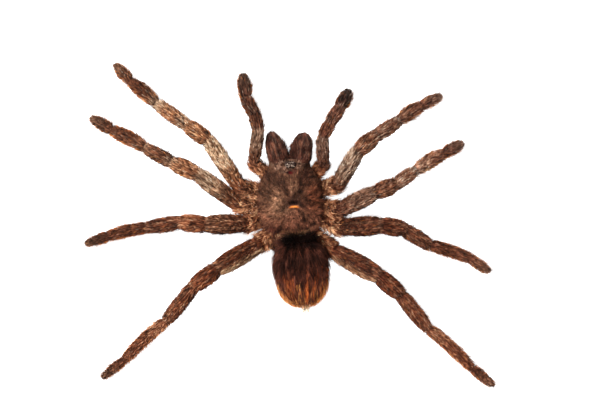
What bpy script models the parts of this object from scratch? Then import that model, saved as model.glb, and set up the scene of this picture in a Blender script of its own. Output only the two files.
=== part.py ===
"""Life-size tarantula of the genus Pamphobeteus, standing with its legs spread.

Every length is in millimetres until a mesh is made, which is where it becomes metres.
The head points to -Y, the spider's own left side is +X, and the floor is Z = 0.
"""

import math
import random

import bmesh
import bpy
from mathutils import Vector

MM = 0.001
GAP = 0.32  # clear space between two neighbouring solids
UP = Vector((0, 0, 1))
FORWARD = Vector((0, -1, 0))

# Middle of the whole spider seen from above, which becomes the origin
MIDDLE_X = -0.2
MIDDLE_Y = 0.07

# Sides: the sign of X, and the name
SIDES = {"left": 1, "right": -1}

# Legs: lengths of femur, patella, tibia, metatarsus and tarsus
LEG_LENGTHS = {
    1: (22.3, 10.7, 14.9, 13.9, 9.8),
    2: (20.2, 10.8, 13.2, 15.6, 10.2),
    3: (17.0, 10.4, 13.7, 16.7, 10.2),
    4: (20.8, 11.6, 18.1, 23.7, 11.4),
}
# Widths at the joints: base of the femur, then the end of each segment, the last at the tip
LEG_JOINT_WIDTHS = {
    1: (5.7, 5.9, 5.3, 4.2, 4.2, 2.7),
    2: (5.9, 5.9, 5.3, 4.2, 4.4, 2.8),
    3: (6.3, 6.5, 5.8, 4.7, 4.4, 2.6),
    4: (6.4, 6.6, 5.8, 4.7, 4.0, 2.6),
}
# Greatest width of each segment between its joints
LEG_WIDTHS = {
    1: (6.4, 6.6, 5.6, 5.5, 4.7),
    2: (6.9, 6.7, 5.5, 5.6, 5.1),
    3: (7.7, 6.9, 5.8, 4.9, 4.4),
    4: (7.9, 7.0, 5.9, 4.8, 4.2),
}
LEG_HEIGHTS = (1.12, 1.06, 1.0, 0.95, 0.84)  # height of each segment as a share of its width
# Right legs a little shorter than the left ones of their pair
SHORTER = {("right", 1): 0.95, ("right", 2): 0.88, ("right", 3): 0.985, ("right", 4): 0.99}
METATARSUS_BOW = {1: 0.3, 2: 0.4, 3: 0.4, 4: 0.75}  # how far its middle curves towards the head

# Palps: femur, patella, tibia and tarsus
PALP_LENGTHS = (13.9, 7.4, 8.3, 10.6)
PALP_JOINT_WIDTHS = (4.4, 4.9, 4.6, 4.3, 3.2)
PALP_WIDTHS = (5.0, 5.2, 5.2, 5.5)
PALP_HEIGHTS = (1.1, 1.05, 1.0, 0.85)

# Pose: base of the femur in X and Y, then for each segment its turn outwards from straight
# ahead and its pitch above the level, in degrees. A foot that rests finds its own last pitch.
BASE_Z = {"palp": 6.8, 1: 7.6, 2: 7.6, 3: 7.4, 4: 6.8}
POSE = {
    ("left", 1): ((18.8, -14.4), (34, 54, 55, 50, 42), (11, -16, -13, 0, -5)),
    ("right", 1): ((-19.0, -15.7), (30, 49, 57, 56, 62), (47, -28, -40, 0, -7)),
    ("left", 2): ((19.5, -7.8), (53, 65, 62, 62, 60), (16, -12, -20, 0, -5)),
    ("right", 2): ((-19.5, -5.8), (64, 68, 56, 59, 61), (32, -27, -35, 0, -6)),
    ("left", 3): ((16.3, -0.5), (91, 85, 99, 102, 109), (24, -15, -16, 0, -6)),
    ("right", 3): ((-20.6, 0.9), (87, 98, 122, 108, 123), (27, -31, -24, 0, -5)),
    ("left", 4): ((10.9, 7.1), (120, 127, 141, 133, 128), (23, -12, -14, 0, -5)),
    ("right", 4): ((-17.1, 9.9), (119, 130, 141, 132, 129), (14, -18, -13, 0, -4)),
    ("left", "palp"): ((13.8, -23.8), (-9, 14, 29, 8), (22, -26, 0, -17)),
    ("right", "palp"): ((-13.4, -23.3), (-3, 27, 32, 29), (43, -20, -36, -40)),
}
RAISED = {("right", "palp")}  # held clear of the floor
FOOT_REST = 0.65  # where along the tarsus it rests
FOOT_PRESS = 0.35  # how much of its underside is flattened by the floor
FOOT_SNAP = 0.25  # points of a limb this near the floor are laid on it
BEND_CLEAR = 0.9  # how far the inside of a bend stays from its own centre
BEND_REACH = 0.55  # least length of a bend on either side of its joint
LIMB_SIDES = 10
SEGMENT_SHARES = (0.0, 0.28, 0.6, 1.0)  # where the rings between two bends lie
SWELL_PEAK = 0.6  # where along a segment it is widest
SWELL_FROM = 0.12  # share of a segment's whole swell at the end of its first bend
SWELL_TO = 0.88
TARSUS_SHARES = (0.0, 0.3, 0.6, 0.85)
TARSUS_PEAK = 0.4
TARSUS_TIP = ((0.95, 0.8), (0.995, 0.42))  # share of the length, share of the tip's width

# Coxae: where each leaves the sternum, as degrees round it from straight ahead
COXA_ROUND = {"palp": 33, 1: 62, 2: 90, 3: 118, 4: 146}
COXA_INNER = (3.3, 3.9)  # width and height against the sternum
COXA_EDGE = {"palp": (4.2, 4.0), 1: (4.9, 4.6), 2: (4.8, 4.6), 3: (5.0, 4.6), 4: (4.7, 4.3)}
COXA_EDGE_SHARE = {"palp": 0.66, 1: 0.66, 2: 0.66, 3: 0.66, 4: 0.58}  # carapace's edge along the coxa
COXA_MIDDLE = ((0.55, 0.93), (1.0, 1.0))  # share of the way to the edge, share of the edge's size
TROCHANTER_SHARE = 0.6  # of the way from the edge to the femur's bend
TROCHANTER_WAIST = 0.96
COXA_INNER_Z = 5.6
COXA_EDGE_Z = 5.5

# Sternum and the mouth in front of it
STERNUM_X = -1.0
STERNUM_Y = -8.2
STERNUM_HALF_WIDTH = 6.2
STERNUM_HALF_LENGTH = 8.2
STERNUM_BOTTOM = 3.1
STERNUM_TOP = 7.9
STERNUM_ROUNDING = 0.8
MOUTH_HALF_WIDTH = 1.6
MOUTH_FRONT_Y = -24.6

# Carapace: its own middle line runs from front to back with a slight yaw
CARAPACE_X = -0.5
CARAPACE_FRONT_Y = -24.9
CARAPACE_LENGTH = 27.4
CARAPACE_YAW = 1.8
CARAPACE_UNDERSIDE = 8.2
CARAPACE_RIM = 0.7
CARAPACE_ARCH = (2.6, 0.8)  # powers of the curve across it: flat on top, steep at the edge
# Share of the length from the front: half width and height of the middle line
CARAPACE_PROFILE = (
    (0.0, 7.5, 12.3),
    (0.035, 7.8, 12.7),
    (0.125, 8.5, 12.7),
    (0.2, 10.0, 14.0),
    (0.34, 11.7, 15.0),
    (0.46, 12.2, 14.6),
    (0.55, 12.4, 13.9),
    (0.585, 12.45, 12.9),
    (0.62, 12.5, 13.6),
    (0.74, 12.35, 12.9),
    (0.86, 11.5, 11.6),
    (0.95, 10.2, 10.3),
    (1.0, 8.8, 9.5),
)
CARAPACE_COLUMNS = (-1.0, -0.86, -0.66, -0.42, -0.2, 0.0, 0.2, 0.42, 0.66, 0.86, 1.0)
FOVEA_SHARE = 0.585
FOVEA_DEPTH_BESIDE = 0.4  # how far the pit's ends lie above its middle
EYE_FLAT_SHARES = (0.035, 0.125)  # level stretch that the eye tubercle stands on
EYE_FLAT_HALF = 0.2  # its half width, as a share of the carapace's
EYE_FLAT_Z = 12.7

# Eye tubercle and its eight eyes
TUBERCLE_WIDTH = 3.9
TUBERCLE_LENGTH = 2.5
TUBERCLE_HEIGHT = 1.3
TUBERCLE_SIDES = 14
TUBERCLE_PROFILE = ((0, 1), (0.3, 0.97), (0.62, 0.84), (0.87, 0.6), (1, 0.25))  # height, spread
EYES = (  # X and Y from the tubercle's middle, radius, height of the centre above its foot
    (0.58, -0.48, 0.38, 0.98),
    (1.4, -0.68, 0.36, 0.56),
    (1.5, 0.16, 0.31, 0.6),
    (0.98, 0.4, 0.25, 0.94),
)

# Chelicerae: how far the base and the tip lie beside the carapace's middle line, and their reach
CHELICERAE = {"left": (4.15, 6.9, 11.2), "right": (-4.6, -6.3, 10.4)}
CHELICERA_BASE_Z = 8.0
CHELICERA_SIDES = 14
CHELICERA_TIP_Z = 6.9
CHELICERA_PROFILE = (  # share of the length, half height
    (0.0, 4.1),
    (0.2, 4.4),
    (0.45, 4.45),
    (0.65, 4.15),
    (0.8, 3.5),
    (0.91, 2.6),
    (0.98, 1.3),
)
CHELICERA_HALF_WIDTHS = {  # at the same places
    "left": (4.0, 4.0, 3.85, 3.5, 2.8, 1.95, 1.05),
    "right": (4.3, 4.3, 4.15, 4.0, 3.4, 2.6, 1.4),
}

# Fangs, folded back under the chelicerae
FANG_BASE = Vector((0, 3.0, 2.9))  # Y is back from the chelicera's tip
FANG_INSET = 0.3  # from under the chelicera's tip towards the middle
FANG_BENDS = (  # X towards the middle, Y and Z from the base, radius
    (0.0, 0.0, 0.0, 1.25),
    (0.0, -0.1, -0.7, 1.2),
    (0.3, 1.3, -1.25, 1.05),
    (1.0, 3.3, -1.5, 0.8),
    (1.8, 5.2, -1.4, 0.5),
    (2.4, 6.7, -1.1, 0.15),
)
FANG_SIDES = 10

# Pedicel
PEDICEL_X = -2.0  # where it leaves the sternum
PEDICEL_Z = 5.8
PEDICEL_HALF_WIDTH = 1.4
PEDICEL_HALF_HEIGHT = 1.3
PEDICEL_DROP = 1.8  # how far it lies below the middle of the abdomen's front
PEDICEL_SAG = 0.7  # how far its middle hangs below a straight line
PEDICEL_MIDDLE = 0.55  # where along it the middle section lies
PEDICEL_NARROW = 0.85  # how thin that section is

# Abdomen
ABDOMEN_FRONT = Vector((-3.1, 3.3, 9.7))
ABDOMEN_LENGTH = 28.0
ABDOMEN_YAW = 6.6  # its rear end is turned towards the spider's right
ABDOMEN_WIDTH = 21.8
ABDOMEN_HEIGHT = 16.8
ABDOMEN_RISE = 0.6  # how far the middle line climbs from front to back
ABDOMEN_WIDEST = 0.43  # share of the length from the front
ABDOMEN_ROUNDNESS = (1.85, 2.2)  # before and behind the widest place; 2 is an ellipse, more is squarer
ABDOMEN_FRONT_LIFT = 0.64  # how much shallower its underside is at the front
ABDOMEN_FRONT_CAP = 15  # degrees from the pole where the flat ends lie
ABDOMEN_REAR_CAP = 169
ABDOMEN_RINGS = 11
ABDOMEN_SIDES = 18

# Coat of the abdomen: flat tapered locks that lie backwards over a core
COAT_DEPTH = 1.15  # from the tips down to the core
LOCK_ROWS = 9
LOCK_FIRST = 26  # degrees from the front pole where the roots of the first row lie
LOCK_LAST = 134
LOCK_END = 167  # degrees past which no tip reaches, clear of the spinnerets
LOCK_SPACING = 3.5  # between neighbours round a row
LOCK_LENGTH = 6.6
LOCK_WIDTH = 2.5
LOCK_SECTIONS = (  # share of the length, height above the core, share of the width, half thickness
    (0.0, -0.75, 0.8, 0.34),
    (0.34, 0.22, 1.0, 0.34),
    (0.72, 0.66, 0.72, 0.27),
)
LOCK_TIP_HEIGHT = 0.98
LOCK_VARIED = 0.16  # share by which length and width differ from lock to lock
LOCK_SWAY = 9  # degrees that a lock may turn off the line from front to rear
LOCK_SEED = 7
LOCK_STEP = 0.25  # how finely a lock's line is followed over the surface
LOCK_ROOT_SWAY = (1.5, 0.12)  # how far a root may stray: degrees along the body, share of the spacing
LOCK_LEAST = 3  # locks in the shortest row
SLOPE_DEGREES = 0.5  # small steps over the core that its directions are taken from
SLOPE_TURN = 0.01
GIRTH_SIDES = 36  # corners of the ring that a row's length round the body is taken from

# Spinnerets
SPINNERET_BASE_RADIUS = 1.7
SPINNERET_BASE_LENGTH = 1.3
SPINNERET_BASE_TAPER = 0.85
SPINNERET_SINK = 0.4  # how far from the abdomen a finger starts inside the base
SPINNERET_SIDES = 8
SPINNERET_JOINTS = (  # share of the length, share of the radius
    (0.0, 1.0),
    (0.3, 1.0),
    (0.36, 0.85),
    (0.62, 0.82),
    (0.68, 0.66),
    (0.94, 0.5),
    (1.0, 0.25),
)
SPINNERETS = (  # X and Z from the middle, length, radius, turn outwards in degrees
    (0.75, 0.25, 2.6, 0.6, 13),
    (0.5, -0.6, 1.8, 0.45, 6),
)

COLOURS = {  # name: red, green, blue, roughness
    "carapace": (0.095, 0.055, 0.038, 0.6),
    "leg": (0.085, 0.045, 0.030, 0.75),
    "coxa": (0.20, 0.095, 0.045, 0.75),
    "foot": (0.075, 0.042, 0.032, 0.75),
    "abdomen": (0.050, 0.022, 0.015, 0.8),
    "chelicera": (0.065, 0.032, 0.024, 0.7),
    "fang": (0.012, 0.008, 0.008, 0.2),
    "eye": (0.010, 0.009, 0.010, 0.1),
    "sternum": (0.030, 0.020, 0.018, 0.75),
    "spinneret": (0.35, 0.20, 0.11, 0.7),
}


def clear_scene():
    for thing in list(bpy.data.objects):
        bpy.data.objects.remove(thing)


def material(name):
    if name in bpy.data.materials:
        return bpy.data.materials[name]
    red, green, blue, roughness = COLOURS[name]
    made = bpy.data.materials.new(name)
    made.use_nodes = True
    shader = made.node_tree.nodes["Principled BSDF"]
    shader.inputs["Base Color"].default_value = (red, green, blue, 1)
    shader.inputs["Roughness"].default_value = roughness
    shader.inputs["Metallic"].default_value = 0
    return made


def add_solid(name, points, faces, finish):
    """One closed mesh object, from points in millimetres moved so that the spider's middle is the origin."""
    middle = Vector((MIDDLE_X, MIDDLE_Y, 0))
    mesh = bpy.data.meshes.new(name)
    mesh.from_pydata([(p - middle) * MM for p in points], [], faces)
    shell = bmesh.new()
    shell.from_mesh(mesh)
    bmesh.ops.recalc_face_normals(shell, faces=shell.faces)
    if shell.calc_volume(signed=True) < 0:
        bmesh.ops.reverse_faces(shell, faces=shell.faces)
    shell.to_mesh(mesh)
    shell.free()
    mesh.shade_smooth()
    mesh.set_sharp_from_angle(angle=math.radians(50))
    mesh.materials.append(material(finish))
    made = bpy.data.objects.new(name, mesh)
    bpy.context.scene.collection.objects.link(made)
    return made


def loft(rings):
    """Points and faces of a tube through rings of equal length, closed by its two end faces."""
    sides = len(rings[0])
    points = [p for ring in rings for p in ring]
    faces = [list(range(sides)), list(range(len(points) - sides, len(points)))]
    for row in range(len(rings) - 1):
        for i in range(sides):
            j = (i + 1) % sides
            low = row * sides
            high = low + sides
            faces.append([low + i, low + j, high + j, high + i])
    return points, faces


def ring_at(centre, along, half_width, half_height, sides=LIMB_SIDES):
    """An ellipse across the direction along, level from side to side, with a flat side below."""
    side = along.cross(UP).normalized()
    up = side.cross(along).normalized()
    ring = []
    for i in range(sides):
        turn = 2 * math.pi * (i + 0.5) / sides - math.pi / 2
        ring.append(centre + side * half_width * math.cos(turn) + up * half_height * math.sin(turn))
    return ring


def swell(start, middle, end, share, peak=SWELL_PEAK):
    """A width that rises from start to middle at the peak and falls to end."""
    if share < peak:
        return start + (middle - start) * math.sin(0.5 * math.pi * share / peak)
    fall = (share - peak) / (1 - peak)
    return middle + (end - middle) * (1 - math.cos(0.5 * math.pi * fall))


def heading(sign, turn, pitch):
    level = math.cos(math.radians(pitch))
    return Vector(
        (
            sign * math.sin(math.radians(turn)) * level,
            -math.cos(math.radians(turn)) * level,
            math.sin(math.radians(pitch)),
        )
    )


class Bend:
    """A rounded corner of a limb's middle line. Share 0 is its start, 0.5 the joint and 1 its end."""

    def __init__(self, corner, before, after, radius):
        self.before = before
        self.after = after
        self.angle = before.angle(after)
        self.radius = radius
        self.reach = radius * math.tan(self.angle / 2)
        self.start = corner - before * self.reach
        self.inward = (after - before * math.cos(self.angle)).normalized()

    def at(self, share):
        """The middle line's point and direction."""
        turn = self.angle * share
        out = self.before * math.sin(turn) + self.inward * (1 - math.cos(turn))
        along = self.before * math.cos(turn) + self.inward * math.sin(turn)
        return self.start + out * self.radius, along


def limb_joints(sign, place, lengths, pitches, turns, base_z, rest_half_height):
    """The joints of a limb from the base of its femur to its tip. The segment before the last one is
    pitched so that the last one lies on the floor, unless rest_half_height is None."""
    joints = [Vector((*place, base_z))]
    last = len(lengths) - 1
    for i, length in enumerate(lengths):
        pitch = pitches[i]
        if i == last - 1 and rest_half_height is not None:
            drop = lengths[last] * FOOT_REST * math.sin(math.radians(-pitches[last]))
            end_z = rest_half_height - FOOT_PRESS + drop
            pitch = math.degrees(math.asin((end_z - joints[-1].z) / length))
        joints.append(joints[-1] + heading(sign, turns[i], pitch) * length)
    return joints


def limb_bends(corners, widths, heights):
    bends = []
    for i in range(1, len(corners) - 1):
        before = (corners[i] - corners[i - 1]).normalized()
        after = (corners[i + 1] - corners[i]).normalized()
        half = 0.5 * widths[i] * max(1.0, heights[i])
        long_enough = BEND_REACH / math.tan(before.angle(after) / 2)
        bends.append(Bend(corners[i], before, after, max(half + BEND_CLEAR, long_enough)))
    return bends


def segment_rings(first, last, start_width, width, end_width, tall, tall_before, tall_after, end_gap, bow):
    """Rings of one segment from the joint in the bend first to the joint in the bend last."""
    point, along = first.at(0.5)
    half = 0.5 * start_width
    rings = [ring_at(point + along * GAP / 2, along, half, half * 0.5 * (tall_before + tall))]
    straight_start = first.at(1)[0]
    straight_end = last.at(0)[0]
    along = (straight_end - straight_start).normalized()
    for share in SEGMENT_SHARES:
        half = 0.5 * swell(start_width, width, end_width, SWELL_FROM + (SWELL_TO - SWELL_FROM) * share)
        centre = straight_start.lerp(straight_end, share) + bow * math.sin(math.pi * share)
        rings.append(ring_at(centre, along, half, half * tall))
    point, along = last.at(0.5)
    half = 0.5 * end_width
    rings.append(ring_at(point - along * end_gap, along, half, half * 0.5 * (tall + tall_after)))
    return rings


def tip_rings(first, tip, start_width, width, tip_width, tall):
    """Rings of a last segment after its joint, rounded off at its tip."""
    start = first.at(1)[0]
    along = (tip - start).normalized()
    rings = []
    for share in TARSUS_SHARES:
        half = 0.5 * swell(start_width, width, tip_width, share, TARSUS_PEAK)
        rings.append(ring_at(start.lerp(tip, share), along, half, half * tall))
    for share, part in TARSUS_TIP:
        half = 0.5 * tip_width * part
        rings.append(ring_at(start.lerp(tip, share), along, half, half * tall))
    return rings


def sternum_place(degrees):
    """A point on the sternum's edge and the outward direction there."""
    turn = math.radians(degrees)
    out_x = math.sin(turn)
    out_y = -math.cos(turn)
    place = Vector((STERNUM_X + STERNUM_HALF_WIDTH * out_x, STERNUM_Y + STERNUM_HALF_LENGTH * out_y, 0))
    out = Vector((out_x / STERNUM_HALF_WIDTH, out_y / STERNUM_HALF_LENGTH, 0)).normalized()
    return place, out


def coxa_rings(sign, limb, edge, bend, width, tall):
    """Rings from the flat face against the sternum, under the carapace's edge, to the femur's joint."""
    place, out = sternum_place(sign * COXA_ROUND[limb])
    inner = place + UP * COXA_INNER_Z
    along = (edge - inner).normalized()
    edge_half_width, edge_half_height = (0.5 * size for size in COXA_EDGE[limb])
    half = 0.5 * width
    rings = [ring_at(inner + out * GAP, out, COXA_INNER[0] / 2, COXA_INNER[1] / 2)]
    for share, swollen in COXA_MIDDLE:
        centre = inner.lerp(edge, share)
        rings.append(ring_at(centre, along, edge_half_width * swollen, edge_half_height * swollen))
    start, along = bend.at(0)
    neck = half * TROCHANTER_WAIST
    rings.append(ring_at(edge.lerp(start, TROCHANTER_SHARE), (start - edge).normalized(), neck, neck))
    rings.append(ring_at(start, along, half, half * 0.5 * (1 + tall)))
    joint, along = bend.at(0.5)
    rings.append(ring_at(joint - along * GAP / 2, along, half, half * tall))
    return rings


def on_floor(rings):
    """The same rings with every point near the floor laid flat on it."""
    return [[Vector((p.x, p.y, 0.0 if p.z < FOOT_SNAP else p.z)) for p in ring] for ring in rings]


def limb_sizes(side, limb):
    """Name, lengths, widths, joint widths and heights as a share of width."""
    if limb == "palp":
        return f"palp_{side}", PALP_LENGTHS, PALP_WIDTHS, PALP_JOINT_WIDTHS, PALP_HEIGHTS
    share = SHORTER.get((side, limb), 1.0)
    lengths = [length * share for length in LEG_LENGTHS[limb]]
    name = f"leg_{limb}_{side}"
    return name, lengths, LEG_WIDTHS[limb], LEG_JOINT_WIDTHS[limb], LEG_HEIGHTS


def add_limb(side, limb):
    sign = SIDES[side]
    place, turns, pitches = POSE[side, limb]
    name, lengths, widths, joint_widths, tall = limb_sizes(side, limb)
    rest = None if (side, limb) in RAISED else 0.5 * widths[-1] * tall[-1]
    joints = limb_joints(sign, place, lengths, pitches, turns, BASE_Z[limb], rest)
    sternum_edge, _ = sternum_place(sign * COXA_ROUND[limb])
    edge = (sternum_edge + UP * COXA_INNER_Z).lerp(joints[0], COXA_EDGE_SHARE[limb])
    edge.z = COXA_EDGE_Z
    bends = limb_bends([edge, *joints], [0, *joint_widths], [1, *tall])
    coxa = coxa_rings(sign, limb, edge, bends[0], joint_widths[0], tall[0])
    add_solid(f"{name}_coxa", *loft(coxa), "coxa")

    last = len(lengths) - 1
    tall_before = (tall[0], *tall)
    segments = []
    for i in range(last):
        end_gap = GAP / 2 if i < 3 else 0
        bow = FORWARD * METATARSUS_BOW[limb] if i == 3 else Vector()
        segments.append(
            segment_rings(
                bends[i], bends[i + 1], joint_widths[i], widths[i], joint_widths[i + 1],
                tall[i], tall_before[i], tall[i + 1], end_gap, bow,
            )
        )
    for segment, rings in zip(("femur", "patella", "tibia"), segments):
        add_solid(f"{name}_{segment}", *loft(on_floor(rings)), "leg")
    foot = tip_rings(
        bends[last], joints[-1], joint_widths[last], widths[last], joint_widths[last + 1], tall[last]
    )
    if limb == "palp":
        joint, along = bends[last].at(0.5)
        half = 0.5 * joint_widths[last]
        half_height = half * 0.5 * (tall[last - 1] + tall[last])
        foot.insert(0, ring_at(joint + along * GAP / 2, along, half, half_height))
    else:
        foot = segments[last - 1] + foot  # metatarsus and tarsus are one solid
    add_solid(f"{name}_foot", *loft(on_floor(foot)), "foot")


def on_carapace(x, share, height):
    """A point at x beside the carapace's middle line, share of its length from the front."""
    yaw = math.radians(CARAPACE_YAW)
    middle = Vector((CARAPACE_X, CARAPACE_FRONT_Y + CARAPACE_LENGTH / 2, height))
    return middle + turned(Vector((x, CARAPACE_LENGTH * (share - 0.5), 0)), yaw)


def add_carapace():
    """A low dome on a level underside, in sections from front to back."""
    across, steep = CARAPACE_ARCH
    rim = CARAPACE_UNDERSIDE + CARAPACE_RIM
    rings = []
    for share, half_width, top in CARAPACE_PROFILE:
        section = [on_carapace(-half_width, share, CARAPACE_UNDERSIDE)]
        for column in CARAPACE_COLUMNS:
            near_middle = abs(column) <= EYE_FLAT_HALF
            height = rim + (top - rim) * (1 - abs(column) ** across) ** steep
            if share in EYE_FLAT_SHARES and near_middle:
                height = top
            if share == FOVEA_SHARE and column != 0 and near_middle:
                height += FOVEA_DEPTH_BESIDE
            section.append(on_carapace(column * half_width, share, height))
        section.append(on_carapace(half_width, share, CARAPACE_UNDERSIDE))
        rings.append(section)
    add_solid("carapace", *loft(rings), "carapace")


def turned(point, angle):
    """The point turned about Z, anticlockwise from above."""
    return Vector(
        (
            point.x * math.cos(angle) - point.y * math.sin(angle),
            point.x * math.sin(angle) + point.y * math.cos(angle),
            point.z,
        )
    )


def crossing(place_a, out_a, place_b, out_b):
    """Where two straight edges meet, each through a place and square to its outward direction."""
    a = place_a.dot(out_a)
    b = place_b.dot(out_b)
    whole = out_a.x * out_b.y - out_a.y * out_b.x
    return Vector(((a * out_b.y - b * out_a.y) / whole, (b * out_a.x - a * out_b.x) / whole, 0))


def add_sternum():
    """A plate with one flat edge for each coxa, and the mouth as a tongue in front."""
    rounds = sorted(COXA_ROUND.values())
    stops = [0] + rounds + [180] + [360 - r for r in reversed(rounds)]
    edges = [sternum_place(stop) for stop in stops]
    outline = [crossing(*edges[i], *edges[(i + 1) % len(edges)]) for i in range(len(edges))]
    front_y = edges[0][0].y
    outline += [
        Vector((STERNUM_X - MOUTH_HALF_WIDTH, front_y, 0)),
        Vector((STERNUM_X - MOUTH_HALF_WIDTH, MOUTH_FRONT_Y, 0)),
        Vector((STERNUM_X + MOUTH_HALF_WIDTH, MOUTH_FRONT_Y, 0)),
        Vector((STERNUM_X + MOUTH_HALF_WIDTH, front_y, 0)),
    ]
    middle = Vector((STERNUM_X, STERNUM_Y, 0))
    rounded = 1 - STERNUM_ROUNDING / STERNUM_HALF_LENGTH
    levels = ((STERNUM_BOTTOM, rounded), (STERNUM_BOTTOM + STERNUM_ROUNDING, 1), (STERNUM_TOP, 1))
    rings = []
    for height, share in levels:
        rings.append([middle + (p - middle) * share + UP * height for p in outline])
    add_solid("sternum", *loft(rings), "sternum")


def add_eyes():
    """A low mound with four pairs of eyes, fused into one solid."""
    yaw = math.radians(CARAPACE_YAW)
    foot = on_carapace(0, sum(EYE_FLAT_SHARES) / 2, EYE_FLAT_Z + GAP)
    rings = []
    for height, spread in TUBERCLE_PROFILE:
        ring = []
        for i in range(TUBERCLE_SIDES):
            turn = 2 * math.pi * i / TUBERCLE_SIDES
            x = 0.5 * TUBERCLE_WIDTH * spread * math.cos(turn)
            y = 0.5 * TUBERCLE_LENGTH * spread * math.sin(turn)
            ring.append(foot + turned(Vector((x, y, TUBERCLE_HEIGHT * height)), yaw))
        rings.append(ring)
    mound = add_solid("eyes", *loft(rings), "eye")
    balls = []
    for x, y, radius, height in EYES:
        for sign in (1, -1):
            centre = foot + turned(Vector((sign * x, y, height)), yaw)
            balls.append(ball(f"eye_{len(balls)}", centre, radius))
    fuse(mound, balls)


def ball(name, centre, radius):
    shell = bmesh.new()
    bmesh.ops.create_icosphere(shell, subdivisions=1, radius=radius)
    points = [centre + v.co for v in shell.verts]
    faces = [[v.index for v in face.verts] for face in shell.faces]
    shell.free()
    return add_solid(name, points, faces, "eye")


def fuse(body, pieces, solver="EXACT"):
    """Joins the pieces to the body with one union, and keeps its largest closed surface."""
    group = bpy.data.collections.new(f"{body.name}_pieces")
    for piece in pieces:
        bpy.context.scene.collection.objects.unlink(piece)
        group.objects.link(piece)
    bpy.context.scene.collection.children.link(group)
    union = body.modifiers.new("union", "BOOLEAN")
    union.operation = "UNION"
    union.operand_type = "COLLECTION"
    union.collection = group
    union.solver = solver
    bpy.context.view_layer.update()
    graph = bpy.context.evaluated_depsgraph_get()
    mesh = bpy.data.meshes.new_from_object(body.evaluated_get(graph))
    body.modifiers.clear()
    body.data = mesh
    for piece in pieces:
        bpy.data.objects.remove(piece)
    bpy.data.collections.remove(group)
    keep_largest(body.data)
    body.data.shade_smooth()
    body.data.set_sharp_from_angle(angle=math.radians(50))


def keep_largest(mesh):
    """Deletes every closed surface but the one with the most volume."""
    shell = bmesh.new()
    shell.from_mesh(mesh)
    left = set(shell.faces)
    surfaces = []
    while left:
        reached = [left.pop()]
        surface = []
        while reached:
            face = reached.pop()
            surface.append(face)
            for edge in face.edges:
                for other in edge.link_faces:
                    if other in left:
                        left.remove(other)
                        reached.append(other)
        surfaces.append(surface)
    largest = max(surfaces, key=enclosed)
    doomed = [face for surface in surfaces if surface is not largest for face in surface]
    bmesh.ops.delete(shell, geom=doomed, context="FACES")
    shell.to_mesh(mesh)
    shell.free()


def enclosed(surface):
    """Three times the volume inside a closed surface."""
    return abs(sum(face.calc_area() * face.normal.dot(face.calc_center_median()) for face in surface))


def add_chelicera(side):
    """A thick tapering lobe from the carapace's front face, and the fang folded under it."""
    base_x, tip_x, reach = CHELICERAE[side]
    forward = turned(FORWARD, math.radians(CARAPACE_YAW))
    base = on_carapace(base_x, 0, CHELICERA_BASE_Z) + forward * GAP
    tip = on_carapace(tip_x, 0, CHELICERA_TIP_Z) + forward * reach
    rings = []
    for (share, half_height), half_width in zip(CHELICERA_PROFILE, CHELICERA_HALF_WIDTHS[side]):
        along = forward if share == 0 else (tip - base).normalized()
        rings.append(ring_at(base.lerp(tip, share), along, half_width, half_height, CHELICERA_SIDES))
    add_solid(f"chelicera_{side}", *loft(rings), "chelicera")

    inwards = -SIDES[side]
    start = Vector((tip.x + inwards * FANG_INSET, tip.y, 0)) + FANG_BASE
    centres = [start + Vector((inwards * x, y, z)) for x, y, z, _ in FANG_BENDS]
    rings = []
    for i, (centre, bend) in enumerate(zip(centres, FANG_BENDS)):
        after = centres[min(i + 1, len(centres) - 1)]
        before = centres[max(i - 1, 0)]
        along = -UP if i == 0 else (after - before).normalized()
        rings.append(fang_ring(centre, along, bend[3]))
    add_solid(f"fang_{side}", *loft(rings), "fang")


def fang_ring(centre, along, radius):
    """A circle across the direction along that keeps one point towards the spider's left."""
    across = along.cross(Vector((1, 0, 0))).normalized()
    left = across.cross(along).normalized()
    ring = []
    for i in range(FANG_SIDES):
        turn = 2 * math.pi * i / FANG_SIDES
        ring.append(centre + left * radius * math.cos(turn) + across * radius * math.sin(turn))
    return ring


def abdomen_axes():
    """The directions from its front to its rear, across it and up."""
    yaw = math.radians(ABDOMEN_YAW)
    level = Vector((-math.sin(yaw), math.cos(yaw), 0))
    along = (level * ABDOMEN_LENGTH + UP * ABDOMEN_RISE).normalized()
    across = along.cross(UP).normalized()
    return along, across, across.cross(along).normalized()


def abdomen_point(degrees, turn, inset=0.0):
    """A point of its outline: degrees run from the front pole to the rear one, and turn goes round it."""
    along, across, up = abdomen_axes()
    widest = ABDOMEN_FRONT + along * ABDOMEN_LENGTH * ABDOMEN_WIDEST
    front = math.cos(math.radians(degrees))
    power = 2 / ABDOMEN_ROUNDNESS[0 if front > 0 else 1]
    reach = ABDOMEN_LENGTH * (ABDOMEN_WIDEST if front > 0 else 1 - ABDOMEN_WIDEST) - inset
    spread = math.sin(math.radians(degrees)) ** power
    place = widest - along * math.copysign(abs(front) ** power, front) * reach
    place += across * (ABDOMEN_WIDTH / 2 - inset) * spread * math.cos(turn)
    depth = ABDOMEN_HEIGHT / 2 - inset
    if math.sin(turn) < 0:
        depth *= 1 - ABDOMEN_FRONT_LIFT * max(front, 0)
    return place + up * depth * spread * math.sin(turn)


def abdomen_frame(degrees, turn):
    """A point of the core, and there the directions rearwards, round the body and outwards."""
    point = abdomen_point(degrees, turn, COAT_DEPTH)
    back = (abdomen_point(degrees + SLOPE_DEGREES, turn, COAT_DEPTH) - point).normalized()
    beside = abdomen_point(degrees, turn + SLOPE_TURN, COAT_DEPTH) - point
    out = beside.cross(back).normalized()
    if out.dot(point - ABDOMEN_FRONT.lerp(ring_middle(ABDOMEN_REAR_CAP), 0.5)) < 0:
        out = -out
    return point, back, out.cross(back).normalized(), out


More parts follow.
